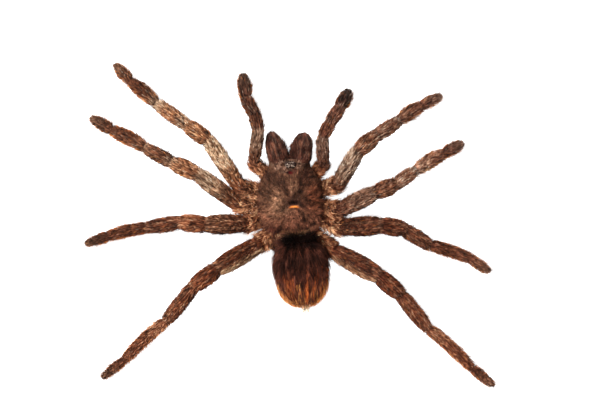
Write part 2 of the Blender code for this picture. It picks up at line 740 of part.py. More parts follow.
def lock_line(degrees, turn, length, sway):
    """Points of a lock's way over the core from its root: (distance from the root, degrees, turn)."""
    line = [(0.0, degrees, turn)]
    gone = 0.0
    while gone < length and degrees < LOCK_END:
        point = abdomen_point(degrees, turn, COAT_DEPTH)
        further = abdomen_point(degrees + SLOPE_DEGREES, turn, COAT_DEPTH)
        beside = abdomen_point(degrees, turn + SLOPE_TURN, COAT_DEPTH)
        per_degree = (further - point).length / SLOPE_DEGREES
        per_turn = (beside - point).length / SLOPE_TURN
        degrees += LOCK_STEP * math.cos(sway) / per_degree
        turn += LOCK_STEP * math.sin(sway) / per_turn
        gone += LOCK_STEP
        line.append((gone, degrees, turn))
    return line


def add_lock(number, degrees, turn, draw):
    """One flat tapered lock: its root is sunk in the core and its tip stands clear of it."""
    length = LOCK_LENGTH * (1 + draw.uniform(-LOCK_VARIED, LOCK_VARIED))
    width = LOCK_WIDTH * (1 + draw.uniform(-LOCK_VARIED, LOCK_VARIED))
    line = lock_line(degrees, turn, length, math.radians(draw.uniform(-LOCK_SWAY, LOCK_SWAY)))
    points = []
    for share, height, wide, half_thickness in LOCK_SECTIONS:
        _, at_degrees, at_turn = line[round(share * (len(line) - 1))]
        place, _, beside, out = abdomen_frame(at_degrees, at_turn)
        place += out * height
        across = beside * 0.5 * width * wide
        points += [place + across, place + out * half_thickness, place - across, place - out * half_thickness]
    _, at_degrees, at_turn = line[-1]
    place, _, _, out = abdomen_frame(at_degrees, at_turn)
    points.append(place + out * LOCK_TIP_HEIGHT)
    faces = [[0, 1, 2], [0, 2, 3]]
    for row in range(len(LOCK_SECTIONS) - 1):
        for i in range(4):
            a = 4 * row + i
            b = 4 * row + (i + 1) % 4
            faces += [[a, b, b + 4], [a, b + 4, a + 4]]
    last = 4 * (len(LOCK_SECTIONS) - 1)
    faces += [[last + i, last + (i + 1) % 4, last + 4] for i in range(4)]
    return add_solid(f"lock_{number}", points, faces, "abdomen")


def add_locks(core):
    """Rows of locks round the core, each row set half a spacing off the one before it."""
    draw = random.Random(LOCK_SEED)
    sway_along, sway_round = LOCK_ROOT_SWAY
    locks = []
    for row in range(LOCK_ROWS):
        degrees = LOCK_FIRST + (LOCK_LAST - LOCK_FIRST) * row / (LOCK_ROWS - 1)
        turns = [2 * math.pi * i / GIRTH_SIDES for i in range(GIRTH_SIDES)]
        ring = [abdomen_point(degrees, turn, COAT_DEPTH) for turn in turns]
        girth = sum((ring[i] - ring[i - 1]).length for i in range(GIRTH_SIDES))
        count = max(LOCK_LEAST, round(girth / LOCK_SPACING))
        for i in range(count):
            turn = 2 * math.pi * (i + 0.5 * (row % 2) + draw.uniform(-sway_round, sway_round)) / count
            root = degrees + draw.uniform(-sway_along, sway_along)
            locks.append(add_lock(len(locks), root, turn, draw))
    fuse(core, locks, "MANIFOLD")


def add_abdomen():
    rings = []
    for i in range(ABDOMEN_RINGS):
        degrees = ABDOMEN_FRONT_CAP + (ABDOMEN_REAR_CAP - ABDOMEN_FRONT_CAP) * i / (ABDOMEN_RINGS - 1)
        turns = [2 * math.pi * (j + 0.5) / ABDOMEN_SIDES for j in range(ABDOMEN_SIDES)]
        rings.append([abdomen_point(degrees, turn, COAT_DEPTH) for turn in turns])
    add_locks(add_solid("abdomen", *loft(rings), "abdomen"))


def ring_middle(degrees):
    """The middle of one flat end of the abdomen."""
    return (abdomen_point(degrees, 0) + abdomen_point(degrees, math.pi)) / 2


def add_pedicel():
    along, _, up = abdomen_axes()
    end = ring_middle(ABDOMEN_FRONT_CAP) - along * GAP - up * PEDICEL_DROP
    rear = sternum_place(180)
    start = Vector((PEDICEL_X, rear[0].y + GAP, PEDICEL_Z))
    middle = start.lerp(end, PEDICEL_MIDDLE) - UP * PEDICEL_SAG
    rings = [
        ring_at(start, rear[1], PEDICEL_HALF_WIDTH, PEDICEL_HALF_HEIGHT),
        ring_at(middle, rear[1], PEDICEL_HALF_WIDTH * PEDICEL_NARROW, PEDICEL_HALF_HEIGHT * PEDICEL_NARROW),
        ring_at(end, along, PEDICEL_HALF_WIDTH, PEDICEL_HALF_HEIGHT),
    ]
    add_solid("pedicel", *loft(rings), "coxa")


def add_spinnerets():
    """A short round base against the abdomen's rear face, and two pairs of tapered fingers fused to it."""
    along, across, up = abdomen_axes()
    foot = ring_middle(ABDOMEN_REAR_CAP) + along * GAP
    end = foot + along * SPINNERET_BASE_LENGTH
    end_radius = SPINNERET_BASE_RADIUS * SPINNERET_BASE_TAPER
    base = add_solid(
        "spinnerets",
        *loft(
            [
                ring_at(foot, along, SPINNERET_BASE_RADIUS, SPINNERET_BASE_RADIUS),
                ring_at(end, along, end_radius, end_radius),
            ]
        ),
        "spinneret",
    )
    fingers = []
    for x, z, length, radius, turn in SPINNERETS:
        for sign in (1, -1):
            out = (along + across * sign * math.tan(math.radians(turn))).normalized()
            start = foot + across * sign * x + up * z + along * SPINNERET_SINK
            rings = []
            for share, thick in SPINNERET_JOINTS:
                half = radius * thick
                rings.append(ring_at(start + out * length * share, out, half, half, SPINNERET_SIDES))
            fingers.append(add_solid(f"finger_{len(fingers)}", *loft(rings), "spinneret"))
    fuse(base, fingers)


def main():
    clear_scene()
    for side in SIDES:
        for limb in (1, 2, 3, 4, "palp"):
            add_limb(side, limb)
        add_chelicera(side)
    add_carapace()
    add_sternum()
    add_eyes()
    add_abdomen()
    add_pedicel()
    add_spinnerets()


main()
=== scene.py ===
"""Skin, shell, eyes and coat of a life-size tarantula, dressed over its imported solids.

Lengths are in millimetres until a mesh is made. The head points to -Y, the spider's own left
side is +X and the floor is Z = 0. Hairs are solid tufts that follow rows of the skin under them.
"""

import math
from typing import NamedTuple

import bpy
import numpy as np
from bpy.props import FloatProperty, FloatVectorProperty, IntProperty, PointerProperty
from bpy.types import Operator, Panel, PropertyGroup
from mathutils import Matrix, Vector


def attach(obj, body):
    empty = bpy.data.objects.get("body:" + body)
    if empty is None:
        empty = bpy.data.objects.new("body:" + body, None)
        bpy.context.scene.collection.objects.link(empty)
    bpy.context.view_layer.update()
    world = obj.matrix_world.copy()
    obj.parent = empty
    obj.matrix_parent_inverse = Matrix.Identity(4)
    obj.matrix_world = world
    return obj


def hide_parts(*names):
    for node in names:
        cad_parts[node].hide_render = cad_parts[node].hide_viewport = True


bl_info = {
    "name": "Tarantula Dressing",
    "version": (1, 0, 0),
    "blender": (4, 5, 0),
    "location": "3D View > Sidebar > Tarantula",
    "description": "Builds the skin, shell, eyes and coat of a life-size tarantula over its solids",
    "category": "Add Mesh",
}

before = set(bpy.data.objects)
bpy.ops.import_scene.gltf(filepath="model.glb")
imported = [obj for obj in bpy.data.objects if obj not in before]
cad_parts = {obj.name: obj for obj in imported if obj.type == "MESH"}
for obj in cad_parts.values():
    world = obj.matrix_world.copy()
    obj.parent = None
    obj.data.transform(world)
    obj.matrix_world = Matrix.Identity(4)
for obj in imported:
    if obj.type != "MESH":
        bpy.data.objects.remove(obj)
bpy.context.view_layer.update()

MM = 0.001
UP = np.array((0.0, 0.0, 1.0))
FORWARD = np.array((0.0, -1.0, 0.0))
MIDDLE = np.array((-0.2, 0.07, 0.0))  # the part's source moves this point to the origin
FLOOR_CLEAR = 0.03  # nothing comes nearer the floor than this

# Limbs, with the same sizes as the solids
SIDES = {"left": 1, "right": -1}
LIMBS = (1, 2, 3, 4, "palp")
SEGMENTS = ("coxa", "femur", "patella", "tibia", "foot")
LEG_LENGTHS = {  # femur, patella, tibia, metatarsus, tarsus
    1: (22.3, 10.7, 14.9, 13.9, 9.8),
    2: (20.2, 10.8, 13.2, 15.6, 10.2),
    3: (17.0, 10.4, 13.7, 16.7, 10.2),
    4: (20.8, 11.6, 18.1, 23.7, 11.4),
}
LEG_JOINT_WIDTHS = {
    1: (5.7, 5.9, 5.3, 4.2, 4.2, 2.7),
    2: (5.9, 5.9, 5.3, 4.2, 4.4, 2.8),
    3: (6.3, 6.5, 5.8, 4.7, 4.4, 2.6),
    4: (6.4, 6.6, 5.8, 4.7, 4.0, 2.6),
}
LEG_WIDTHS = {
    1: (6.4, 6.6, 5.6, 5.5, 4.7),
    2: (6.9, 6.7, 5.5, 5.6, 5.1),
    3: (7.7, 6.9, 5.8, 4.9, 4.4),
    4: (7.9, 7.0, 5.9, 4.8, 4.2),
}
LEG_HEIGHTS = (1.12, 1.06, 1.0, 0.95, 0.84)
SHORTER = {("right", 1): 0.95, ("right", 2): 0.88, ("right", 3): 0.985, ("right", 4): 0.99}
METATARSUS_BOW = {1: 0.3, 2: 0.4, 3: 0.4, 4: 0.75}
PALP_LENGTHS = (13.9, 7.4, 8.3, 10.6)
PALP_JOINT_WIDTHS = (4.4, 4.9, 4.6, 4.3, 3.2)
PALP_WIDTHS = (5.0, 5.2, 5.2, 5.5)
PALP_HEIGHTS = (1.1, 1.05, 1.0, 0.85)
BASE_Z = {"palp": 6.8, 1: 7.6, 2: 7.6, 3: 7.4, 4: 6.8}
POSE = {  # femur's base, then each segment's turn outwards and its pitch, in degrees
    ("left", 1): ((18.8, -14.4), (34, 54, 55, 50, 42), (11, -16, -13, 0, -5)),
    ("right", 1): ((-19.0, -15.7), (30, 49, 57, 56, 62), (47, -28, -40, 0, -7)),
    ("left", 2): ((19.5, -7.8), (53, 65, 62, 62, 60), (16, -12, -20, 0, -5)),
    ("right", 2): ((-19.5, -5.8), (64, 68, 56, 59, 61), (32, -27, -35, 0, -6)),
    ("left", 3): ((16.3, -0.5), (91, 85, 99, 102, 109), (24, -15, -16, 0, -6)),
    ("right", 3): ((-20.6, 0.9), (87, 98, 122, 108, 123), (27, -31, -24, 0, -5)),
    ("left", 4): ((10.9, 7.1), (120, 127, 141, 133, 128), (23, -12, -14, 0, -5)),
    ("right", 4): ((-17.1, 9.9), (119, 130, 141, 132, 129), (14, -18, -13, 0, -4)),
    ("left", "palp"): ((13.8, -23.8), (-9, 14, 29, 8), (22, -26, 0, -17)),
    ("right", "palp"): ((-13.4, -23.3), (-3, 27, 32, 29), (43, -20, -36, -40)),
}
RAISED = {("right", "palp")}
FOOT_REST = 0.65
FOOT_PRESS = 0.35
FOOT_SNAP = 0.25
BEND_CLEAR = 0.9
BEND_REACH = 0.55
SWELL_PEAK = 0.6
TARSUS_PEAK = 0.4
TARSUS_ROUND = 0.86  # share of the tarsus where its tip starts to round off
JOINT_PINCH = 0.13  # how much narrower the bare membrane of a joint is
JOINT_PINCH_LENGTH = 0.6
SEGMENT_LENGTH = 14  # of a usual segment
COXA_LEVELS = (-2.0, -1.45, -1.0, -0.4, 0.0)

# Coxae
COXA_ROUND = {"palp": 33, 1: 62, 2: 90, 3: 118, 4: 146}
COXA_INNER = (3.3, 3.9)
COXA_EDGE = {"palp": (4.2, 4.0), 1: (4.9, 4.6), 2: (4.8, 4.6), 3: (5.0, 4.6), 4: (4.7, 4.3)}
COXA_EDGE_SHARE = {"palp": 0.66, 1: 0.66, 2: 0.66, 3: 0.66, 4: 0.58}
COXA_INNER_Z = 5.6
COXA_EDGE_Z = 5.5
COXA_SUNK = 1.2  # how far the skin of a coxa runs on into the body
COXA_BEND = 3.0

# Body
STERNUM = (-1.0, -8.2)
STERNUM_HALF_WIDTH = 6.2
STERNUM_HALF_LENGTH = 8.2
STERNUM_BOTTOM = 3.1
STERNUM_TOP = 7.9
STERNUM_INSET = 0.1
MOUTH_HALF_WIDTH = 1.6
MOUTH_FRONT_Y = -24.0
MOUTH_HALF_HEIGHT = 1.9
MOUTH_Z = 5.2
PLEURA_HALF = (10.6, 12.2, 1.7)  # the soft body wall between the leg bases and the shell
PLEURA_MIDDLE = (-0.9, -11.4, 7.6)
SHOULDER_HALF = (4.6, 4.4, 1.5)  # soft wall between the left hind leg's base and the abdomen
SHOULDER_MIDDLE = (3.6, 5.6, 6.3)
PEDICEL_X = -2.0
PEDICEL_Z = 5.8
PEDICEL_HALF = (1.35, 1.25)
PEDICEL_SAG = 0.7
PEDICEL_SUNK = 1.0  # how far it starts inside the sternum
PEDICEL_END = (2.2, 1.8)  # where it ends in the abdomen, along from its front and down

CARAPACE_X = -0.5
CARAPACE_FRONT_Y = -24.9
CARAPACE_LENGTH = 27.4
CARAPACE_YAW = math.radians(1.8)
CARAPACE_UNDERSIDE = 8.2
CARAPACE_RIM = 0.7
CARAPACE_ARCH = (2.6, 0.8)
CARAPACE_PROFILE = (  # share of the length, half width, height of the middle line
    (0.0, 7.5, 12.3),
    (0.035, 7.8, 12.7),
    (0.125, 8.5, 12.9),
    (0.2, 10.0, 14.0),
    (0.34, 11.7, 15.0),
    (0.46, 12.2, 14.6),
    (0.55, 12.4, 13.9),
    (0.62, 12.5, 13.6),
    (0.74, 12.35, 12.9),
    (0.86, 11.5, 11.6),
    (0.95, 10.2, 10.3),
    (1.0, 8.8, 9.5),
)
FOVEA = (-1.35, 0.603)  # X beside the middle line, share of the length
FOVEA_HALF = (2.0, 0.6)
FOVEA_DEPTH = 1.5
FOVEA_BAR = (-1.3, 0.651)  # the bare orange fold behind the pit
FOVEA_BAR_HALF = (1.95, 0.34)
FURROW_ANGLES = (36, 63, 90, 118, 148)  # degrees from straight ahead, as seen from the fovea
FURROW_REACH = (2.6, 11.5)  # where furrows start and end, from the fovea
FURROW_DEPTH = 0.32
FURROW_WIDTH = 0.55
HEAD_GROOVE_DEPTH = 0.45
HEAD_GROOVE_END = (6.3, 0.12)

ABDOMEN_FRONT = np.array((-3.1, 3.3, 9.7))
ABDOMEN_LENGTH = 28.0
ABDOMEN_YAW = math.radians(6.6)
ABDOMEN_WIDTH = 21.8
ABDOMEN_HEIGHT = 16.8
ABDOMEN_RISE = 0.6
ABDOMEN_WIDEST = 0.43
ABDOMEN_ROUNDNESS = (1.85, 2.2)
ABDOMEN_FRONT_LIFT = 0.64
ABDOMEN_DEGREES = (5, 174)

# Face
CHELICERAE = {"left": (4.15, 6.9, 11.2), "right": (-4.6, -6.3, 10.4)}
CHELICERA_BASE_Z = 8.0
CHELICERA_TIP_Z = 6.9
LEAST_LOBE_HALF = 0.08
CHELICERA_PLACES = (-0.12, 0.0, 0.2, 0.45, 0.65, 0.8, 0.91, 0.98, 1.0)
CHELICERA_HALF_HEIGHTS = (3.9, 4.1, 4.4, 4.45, 4.15, 3.5, 2.6, 1.4, 0.4)
CHELICERA_HALF_WIDTHS = {
    "left": (3.8, 4.0, 4.0, 3.85, 3.5, 2.85, 2.1, 1.2, 0.4),
    "right": (4.1, 4.3, 4.3, 4.15, 4.0, 3.4, 2.65, 1.6, 0.5),
}
FANG_BASE = np.array((0.0, 3.0, 2.9))
FANG_INSET = 0.3
FANG_BENDS = (
    (0.0, 0.0, 0.9, 1.2),
    (0.0, -0.1, -0.5, 1.15),
    (0.3, 1.3, -1.25, 1.0),
    (1.0, 3.3, -1.5, 0.75),
    (1.8, 5.2, -1.4, 0.45),
    (2.4, 6.7, -1.1, 0.08),
)
EYE_PLACE = (-0.45, 0.058)
EYE_FOOT_Z = 12.85
MOUND_HALF = (1.85, 1.18)
MOUND_HEIGHT = 1.22
MOUND_PROFILE = (  # share of the height, share of the spread
    (-0.5, 1.25), (-0.1, 1.2), (0.1, 1.08), (0.35, 0.98), (0.62, 0.84), (0.85, 0.6), (0.97, 0.3),
    (1.0, 0.06),
)
EYES = (  # X and Y from the mound's middle, radius, height of the centre above its foot
    (0.58, -0.42, 0.38, 0.9),
    (1.5, -0.66, 0.46, 0.46),
    (1.56, 0.36, 0.28, 0.5),
    (1.0, 0.5, 0.22, 0.82),
)

# Spinnerets
SPINNERET_BASE = (1.55, 1.3)  # radius and length
SPINNERET_BASE_WIDTHS = (1.1, 1.1, 1.08, 1.04, 1.0, 0.97, 0.93, 0.82, 0.5)
SPINNERETS = (  # X and Z from the middle, length, radius, turn outwards in degrees
    (0.42, 0.25, 2.4, 0.55, 4),
    (0.4, -0.6, 1.8, 0.42, 4),
)
SPINNERET_JOINTS = (  # share of the length, share of the radius
    (0.0, 1.0), (0.3, 1.0), (0.34, 0.84), (0.62, 0.82), (0.66, 0.64), (0.92, 0.5), (1.0, 0.12),
)

# Claws
CLAW_LENGTH = 1.0
CLAW_RADIUS = 0.17
CLAW_SPREAD = 0.42
CLAW_BACK = 0.75  # how far behind the tip a claw starts
CLAW_LIFT = 0.25

# Colours of the coat, in the usual 0 to 255 steps
DARK_COAT = {  # by position along a limb
    -2.0: (92, 50, 34),
    -0.9: (130, 74, 48),
    -0.25: (120, 68, 46),
    0.1: (92, 54, 38),
    0.8: (98, 58, 41),
    1.1: (106, 59, 40),
    1.9: (112, 64, 44),
    2.1: (108, 62, 43),
    2.9: (106, 62, 45),
    3.2: (94, 55, 38),
    3.9: (98, 59, 43),
    4.2: (84, 53, 40),
    5.0: (102, 75, 60),
}
# what the fur turns to where it is pale, for the pale hair and the painted sheen alike
PALE_COAT = {
    -2.0: (130, 82, 58),
    -0.9: (166, 112, 82),
    -0.25: (142, 90, 64),
    0.1: (98, 60, 41),
    0.3: (118, 78, 55),
    0.5: (172, 130, 102),
    0.9: (172, 136, 108),
    1.1: (148, 98, 68),
    1.9: (150, 102, 73),
    2.12: (170, 132, 106),
    2.3: (136, 90, 64),
    2.65: (138, 94, 68),
    2.85: (166, 130, 104),
    3.1: (156, 118, 92),
    3.5: (112, 72, 52),
    4.0: (110, 71, 51),
    5.0: (122, 90, 70),
}
PALENESS = {  # how pale the fur of femur, patella, tibia, metatarsus and tarsus is: partly pale hair, partly a painted sheen, strongest on the left front legs that face the light
    ("left", 1): (0.95, 0.75, 0.85, 0.25, 0.2),
    ("right", 1): (0.75, 0.3, 0.3, 0.25, 0.1),
    ("left", 2): (0.6, 0.6, 0.25, 0.15, 0.1),
    ("right", 2): (0.3, 0.3, 0.45, 0.5, 0.1),
    ("left", 3): (0.1, 0.15, 0.05, 0.0, 0.0),
    ("right", 3): (0.0, 0.0, 0.05, 0.0, 0.0),
    ("left", 4): (0.0, 0.05, 0.1, 0.25, 0.1),
    ("right", 4): (0.0, 0.05, 0.1, 0.25, 0.1),
    ("left", "palp"): (0.4, 0.1, 0.0, 0.0, 0.0),
    ("right", "palp"): (0.3, 0.1, 0.1, 0.0, 0.0),
}
LIMB_SHADES = {  # how bright the same segments are
    ("left", 1): (1.45, 0.88, 1.39, 0.76, 1.07),
    ("right", 1): (1.21, 1.65, 2.16, 1.73, 1.86),
    ("left", 2): (0.91, 1.14, 0.66, 0.92, 0.91),
    ("right", 2): (1.13, 1.36, 2.75, 2.55, 1.5),
    ("left", 3): (0.82, 1.23, 0.76, 0.71, 0.77),
    ("right", 3): (0.68, 1.29, 1.39, 1.12, 2.17),
    ("left", 4): (0.72, 1.03, 1.12, 1.68, 1.1),
    ("right", 4): (0.86, 0.97, 1.48, 1.84, 1.37),
    ("left", "palp"): (0.94, 0.55, 0.55, 0.77, 0.77),
    ("right", "palp"): (0.87, 0.93, 1.32, 0.38, 0.38),
}
LIMB_HUES = {  # what the same fur is multiplied by: the hind legs are redder
    ("left", 1): (1.07, 0.96, 0.87),
    ("right", 1): (1.02, 1, 1.05),
    ("left", 2): (1.05, 0.98, 0.92),
    ("right", 2): (1.01, 0.99, 1.06),
    ("left", 3): (1.07, 0.98, 0.91),
    ("right", 3): (1.05, 0.94, 0.9),
    ("left", 4): (1.1, 0.92, 0.81),
    ("right", 4): (1.1, 0.89, 0.81),
    ("left", "palp"): (0.99, 1.03, 1.1),
    ("right", "palp"): (1, 1.04, 1.19),
}
USUAL_BASE_PALENESS = 0.6
BASE_PALENESS = {  # how pale the strands of the coxa's fluff are, where that isn't the usual
    ("left", "palp"): 0.25, ("right", "palp"): 0.2, ("right", 1): 0.4, ("left", 2): 0.7,
    ("left", 3): 0.75, ("left", 4): 0.9,
}
PALE_PATCHES_AND_SHEEN = {  # whitish patches on the top of the limb, partly pale hair and partly painted sheen: position along the limb, half length, strength
    ("left", 1): ((0.55, 0.14, 0.35), (2.1, 0.12, 0.45), (2.9, 0.12, 0.55), (3.06, 0.06, 0.8)),
    ("left", 2): ((0.82, 0.16, 0.4), (2.05, 0.08, 0.4)),
    ("right", 1): ((0.6, 0.3, 0.3),),
    ("right", 2): ((2.9, 0.15, 0.4),),
}
# colour of those whitish patches, painted sheen in part
PALE_PATCH_AND_SHEEN_COAT = (206, 174, 146)
BARE_STRIPE = (206, 168, 134)
BARE_STRIPE_TURN = math.radians(24)
BARE_STRIPE_HALF = math.radians(6)
JOINT_PALE = (186, 150, 122)
JOINT_DARK = (66, 36, 26)
FRINGE = (214, 116, 54)
# colour of the painted shade on the undersides and lower edges of limbs and chelicerae
UNDERSIDE_SHADE = (36, 20, 15)
BASE_PALE = (220, 146, 104)
FLANK_PALE = (218, 172, 134)  # along the rear of the hind femora
FLANK_STRENGTH = {"left": 0.8, "right": 0.4}
PALE_HAIR = (222, 198, 172)
DARK_HAIR = (44, 26, 20)
CARAPACE_COAT = (85, 56, 41)
CARAPACE_DARK = (44, 24, 18)
CARAPACE_PALE = (148, 108, 82)
CARAPACE_REAR = (128, 80, 60)
CARAPACE_HEM = (52, 22, 16)
CARAPACE_RED = (114, 62, 41)
CARAPACE_FRINGE = (158, 114, 80)
FACE_PALE = (150, 113, 93)
EYE_RIM = (188, 166, 148)
CARAPACE_MARKS = (  # X and share of the length, half width and half length, colour, strength
    (-6.3, 0.215, 2.4, 4.4, CARAPACE_DARK, 0.9),
    (7.6, 0.23, 2.6, 2.4, CARAPACE_DARK, 0.7),
    (-8.4, 0.55, 2.8, 5.0, CARAPACE_RED, 0.8),
    (4.9, 0.6, 2.2, 4.0, CARAPACE_PALE, 0.75),
    (1.8, 0.7, 1.8, 1.5, CARAPACE_PALE, 0.4),
    (7.2, 0.72, 2.6, 1.6, CARAPACE_PALE, 0.35),
    (-0.7, 0.4, 0.45, 2.6, CARAPACE_PALE, 0.6),
    (-2.3, 0.42, 0.4, 2.4, CARAPACE_PALE, 0.5),
    (-3.9, 0.36, 0.7, 3.6, CARAPACE_DARK, 0.6),
    (1.3, 0.36, 0.6, 3.0, CARAPACE_DARK, 0.45),
    (-5.4, 0.62, 2.4, 1.4, CARAPACE_HEM, 0.5),
    (-8.6, 0.78, 2.2, 2.4, CARAPACE_HEM, 0.2),
    (-1.7, 0.91, 2.2, 1.4, CARAPACE_HEM, 0.35),
    (7.6, 0.94, 4.4, 1.5, CARAPACE_HEM, 0.85),
    (2.6, 0.955, 3.4, 0.7, CARAPACE_HEM, 0.9),
    (-1.0, 0.985, 6.5, 0.8, CARAPACE_HEM, 0.65),
    (-7.6, 0.92, 3.6, 1.6, CARAPACE_HEM, 0.3),
)
CARAPACE_DOTS = ((-1.13, 0.817), (-3.32, 0.794))  # two bare pits behind the fovea
CARAPACE_DOT_HALF = 0.36
FOVEA_ORANGE = (230, 132, 56)
FOVEA_DULL = (170, 90, 44)
FACE_SPOT = (0.1, 0.17)  # the dark red spot behind the eyes: X, share of the length
FACE_SPOT_HALF = (1.35, 0.6)
FACE_MARK = (74, 7, 11)
CHELICERA_COAT = (76, 43, 33)
CHELICERA_STREAK = (116, 70, 50)
CHELICERA_TIP = (104, 52, 42)
STERNUM_COAT = (44, 28, 24)
ABDOMEN_BLACK = (24, 12, 9)
ABDOMEN_BROWN = (60, 33, 25)
ABDOMEN_RED = (94, 50, 37)
ABDOMEN_RUST = (236, 112, 52)
ABDOMEN_FRINGE = (246, 148, 80)
SPINNERET_COAT = (255, 236, 212)
SPINNERET_RUST = (240, 184, 138)
LIMB_WARMTH = np.array((1.25, 1.18, 1.13))  # what the coat of all limbs is multiplied by

# Noise of the coats: cell length, cell width, seed
LIMB_GRAIN = {
    "streak": (2.4, 0.5, 0), "patch": (2.6, 2.2, 40), "speck": (0.85, 0.5, 80), "hole": (1.2, 0.5, 81),
    "tuft": (1.5, 0.8, 60),
}
ABDOMEN_GRAIN = {
    "streak": (4, 0.6, 71), "thin": (6, 0.36, 73), "speck": (0.95, 0.62, 74), "patch": (5, 3, 72),
    "fleck": (0.8, 0.6, 76), "hole": (1.3, 0.42, 75),
}
CARAPACE_GRAIN = {"patch": (2.4, 2.4, 33), "speck": (0.6, 0.6, 34), "mottle": (0.95, 0.95, 36)}
FACE_GRAIN = {
    "streak": (3.0, 0.42, 51), "patch": (3, 2, 52), "speck": (0.8, 0.45, 53), "line": (1.8, 0.45, 54),
}


class TarantulaSizes(PropertyGroup):
    """Sizes of the coat that a user may change."""

    limb_coat: FloatProperty(
        name="Limb coat", description="Depth of the fur on legs and palps", default=0.42 * MM,
        min=0.0, unit="LENGTH",
    )
    shell_coat: FloatProperty(
        name="Shell coat", description="Depth of the velvet on the carapace and chelicerae",
        default=0.3 * MM, min=0.0, unit="LENGTH",
    )
    abdomen_coat: FloatProperty(
        name="Abdomen coat", description="Depth of the setae on the abdomen, down to the solid's core",
        default=1.15 * MM, min=0.0, unit="LENGTH",
    )
    tuft_width: FloatProperty(
        name="Tuft width", description="Width of one tuft of the legs' short fur", default=0.205 * MM,
        min=0.0, unit="LENGTH",
    )
    seed: IntProperty(name="Seed", description="Start of the random draw of the coat", default=11)


class TarantulaColours(PropertyGroup):
    """Colours and finishes that a user may change."""

    gloss_black: FloatVectorProperty(
        name="Gloss black", description="Eyes and fangs", default=(0.010, 0.008, 0.009),
        subtype="COLOR", min=0.0, max=1.0,
    )
    floor: FloatVectorProperty(
        name="Floor", description="The plain pale floor", default=(0.86, 0.86, 0.86),
        subtype="COLOR", min=0.0, max=1.0,
    )
    coat_roughness: FloatProperty(
        name="Coat roughness", description="Roughness of the hairs", default=0.5, min=0.0, max=1.0,
        subtype="FACTOR",
    )
    depth_shade: FloatProperty(
        name="Depth shade", description="How dark the skin is under the fur, as a share of the fur",
        default=0.35, min=0.0, max=1.0, subtype="FACTOR",
    )


def sizes():
    return bpy.context.scene.tarantula_sizes


def colours():
    return bpy.context.scene.tarantula_colours


# Small helpers

def unit(v):
    return v / np.maximum(np.linalg.norm(v, axis=-1, keepdims=True), 1e-12)


def linear(colour):
    """A 0 to 255 screen colour as the linear values that a shader takes."""
    share = np.asarray(colour, float) / 255
    return np.where(share <= 0.04045, share / 12.92, ((share + 0.055) / 1.055) ** 2.4)


def ramp(position, stops):
    """Colours along a line from a dictionary of stops."""
    places = sorted(stops)
    table = np.array([linear(stops[place]) for place in places])
    return np.stack([np.interp(position, places, table[:, i]) for i in range(3)], axis=-1)


def blend(below, above, share):
    share = np.clip(np.asarray(share, float), 0, 1)[..., None]
    return below * (1 - share) + above * share


def rise(value, start, reach):
    """0 up to start, growing evenly to 1 over reach."""
    return np.clip((value - start) / reach, 0, 1)


def fall(value, end, reach):
    """1 until reach before end, shrinking evenly to 0 at end."""
    return np.clip((end - value) / reach, 0, 1)


def paint(colour, tone, share):
    """A colour drawn towards a 0 to 255 screen colour by a share."""
    return blend(colour, linear(tone), share)


def grains(cells, along, around, number=0):
    """Noise fields over the skin, one for each (cell length, cell width, seed) of a table."""
    return [grain(along / long, around / wide, number + seed) for long, wide, seed in cells.values()]


def window(value, low, high, soft):
    """1 between low and high, falling to 0 over soft on either side."""
    before = np.clip((value - low) / soft + 1, 0, 1)
    after = np.clip((high - value) / soft + 1, 0, 1)
    both = np.minimum(before, after)
    return both * both * (3 - 2 * both)


def grain(x, y, seed):
    """Smooth noise from 0 to 1 over a plane."""
    x = np.asarray(x, float)
    y = np.asarray(y, float)
    column = np.floor(x)
    row = np.floor(y)
    across = x - column
    down = y - row
    across = across * across * (3 - 2 * across)
    down = down * down * (3 - 2 * down)

    def corner(i, j):
        value = np.sin((column + i) * 127.1 + (row + j) * 311.7 + seed * 74.7) * 43758.5453
        return value - np.floor(value)

    upper = corner(0, 0) * (1 - across) + corner(1, 0) * across
    lower = corner(0, 1) * (1 - across) + corner(1, 1) * across
    return upper * (1 - down) + lower * down


def square_to(along):
    """Level and upward directions square to a way along."""
    beside = unit(np.cross(along, UP))
    return beside, unit(np.cross(beside, along))


def full_turn(columns, start=-math.pi):
    """Even turns once round, from start."""
    return start + 2 * math.pi * np.arange(columns) / columns


def tube_points(middle, front, up, across, above):
    """Points round a middle line: how far each row and column lies across and above it."""
    return middle[:, None] + front * across[..., None] + up * above[..., None]


def turned(points, angle):
    """Points turned about Z, anticlockwise from above."""
    points = np.asarray(points, float)
    x = points[..., 0] * math.cos(angle) - points[..., 1] * math.sin(angle)
    y = points[..., 0] * math.sin(angle) + points[..., 1] * math.cos(angle)
    return np.stack([x, y, points[..., 2]], axis=-1)


OVERHANG = 0.2  # how far a hair may reach past the end of its sheet
END_SHARE = 0.6  # share of the way to the end that a hair near it may cover
LEAST_GIRTH = 0.05
MOST_DRIFT = 2.5  # columns that a hair may stray round its sheet


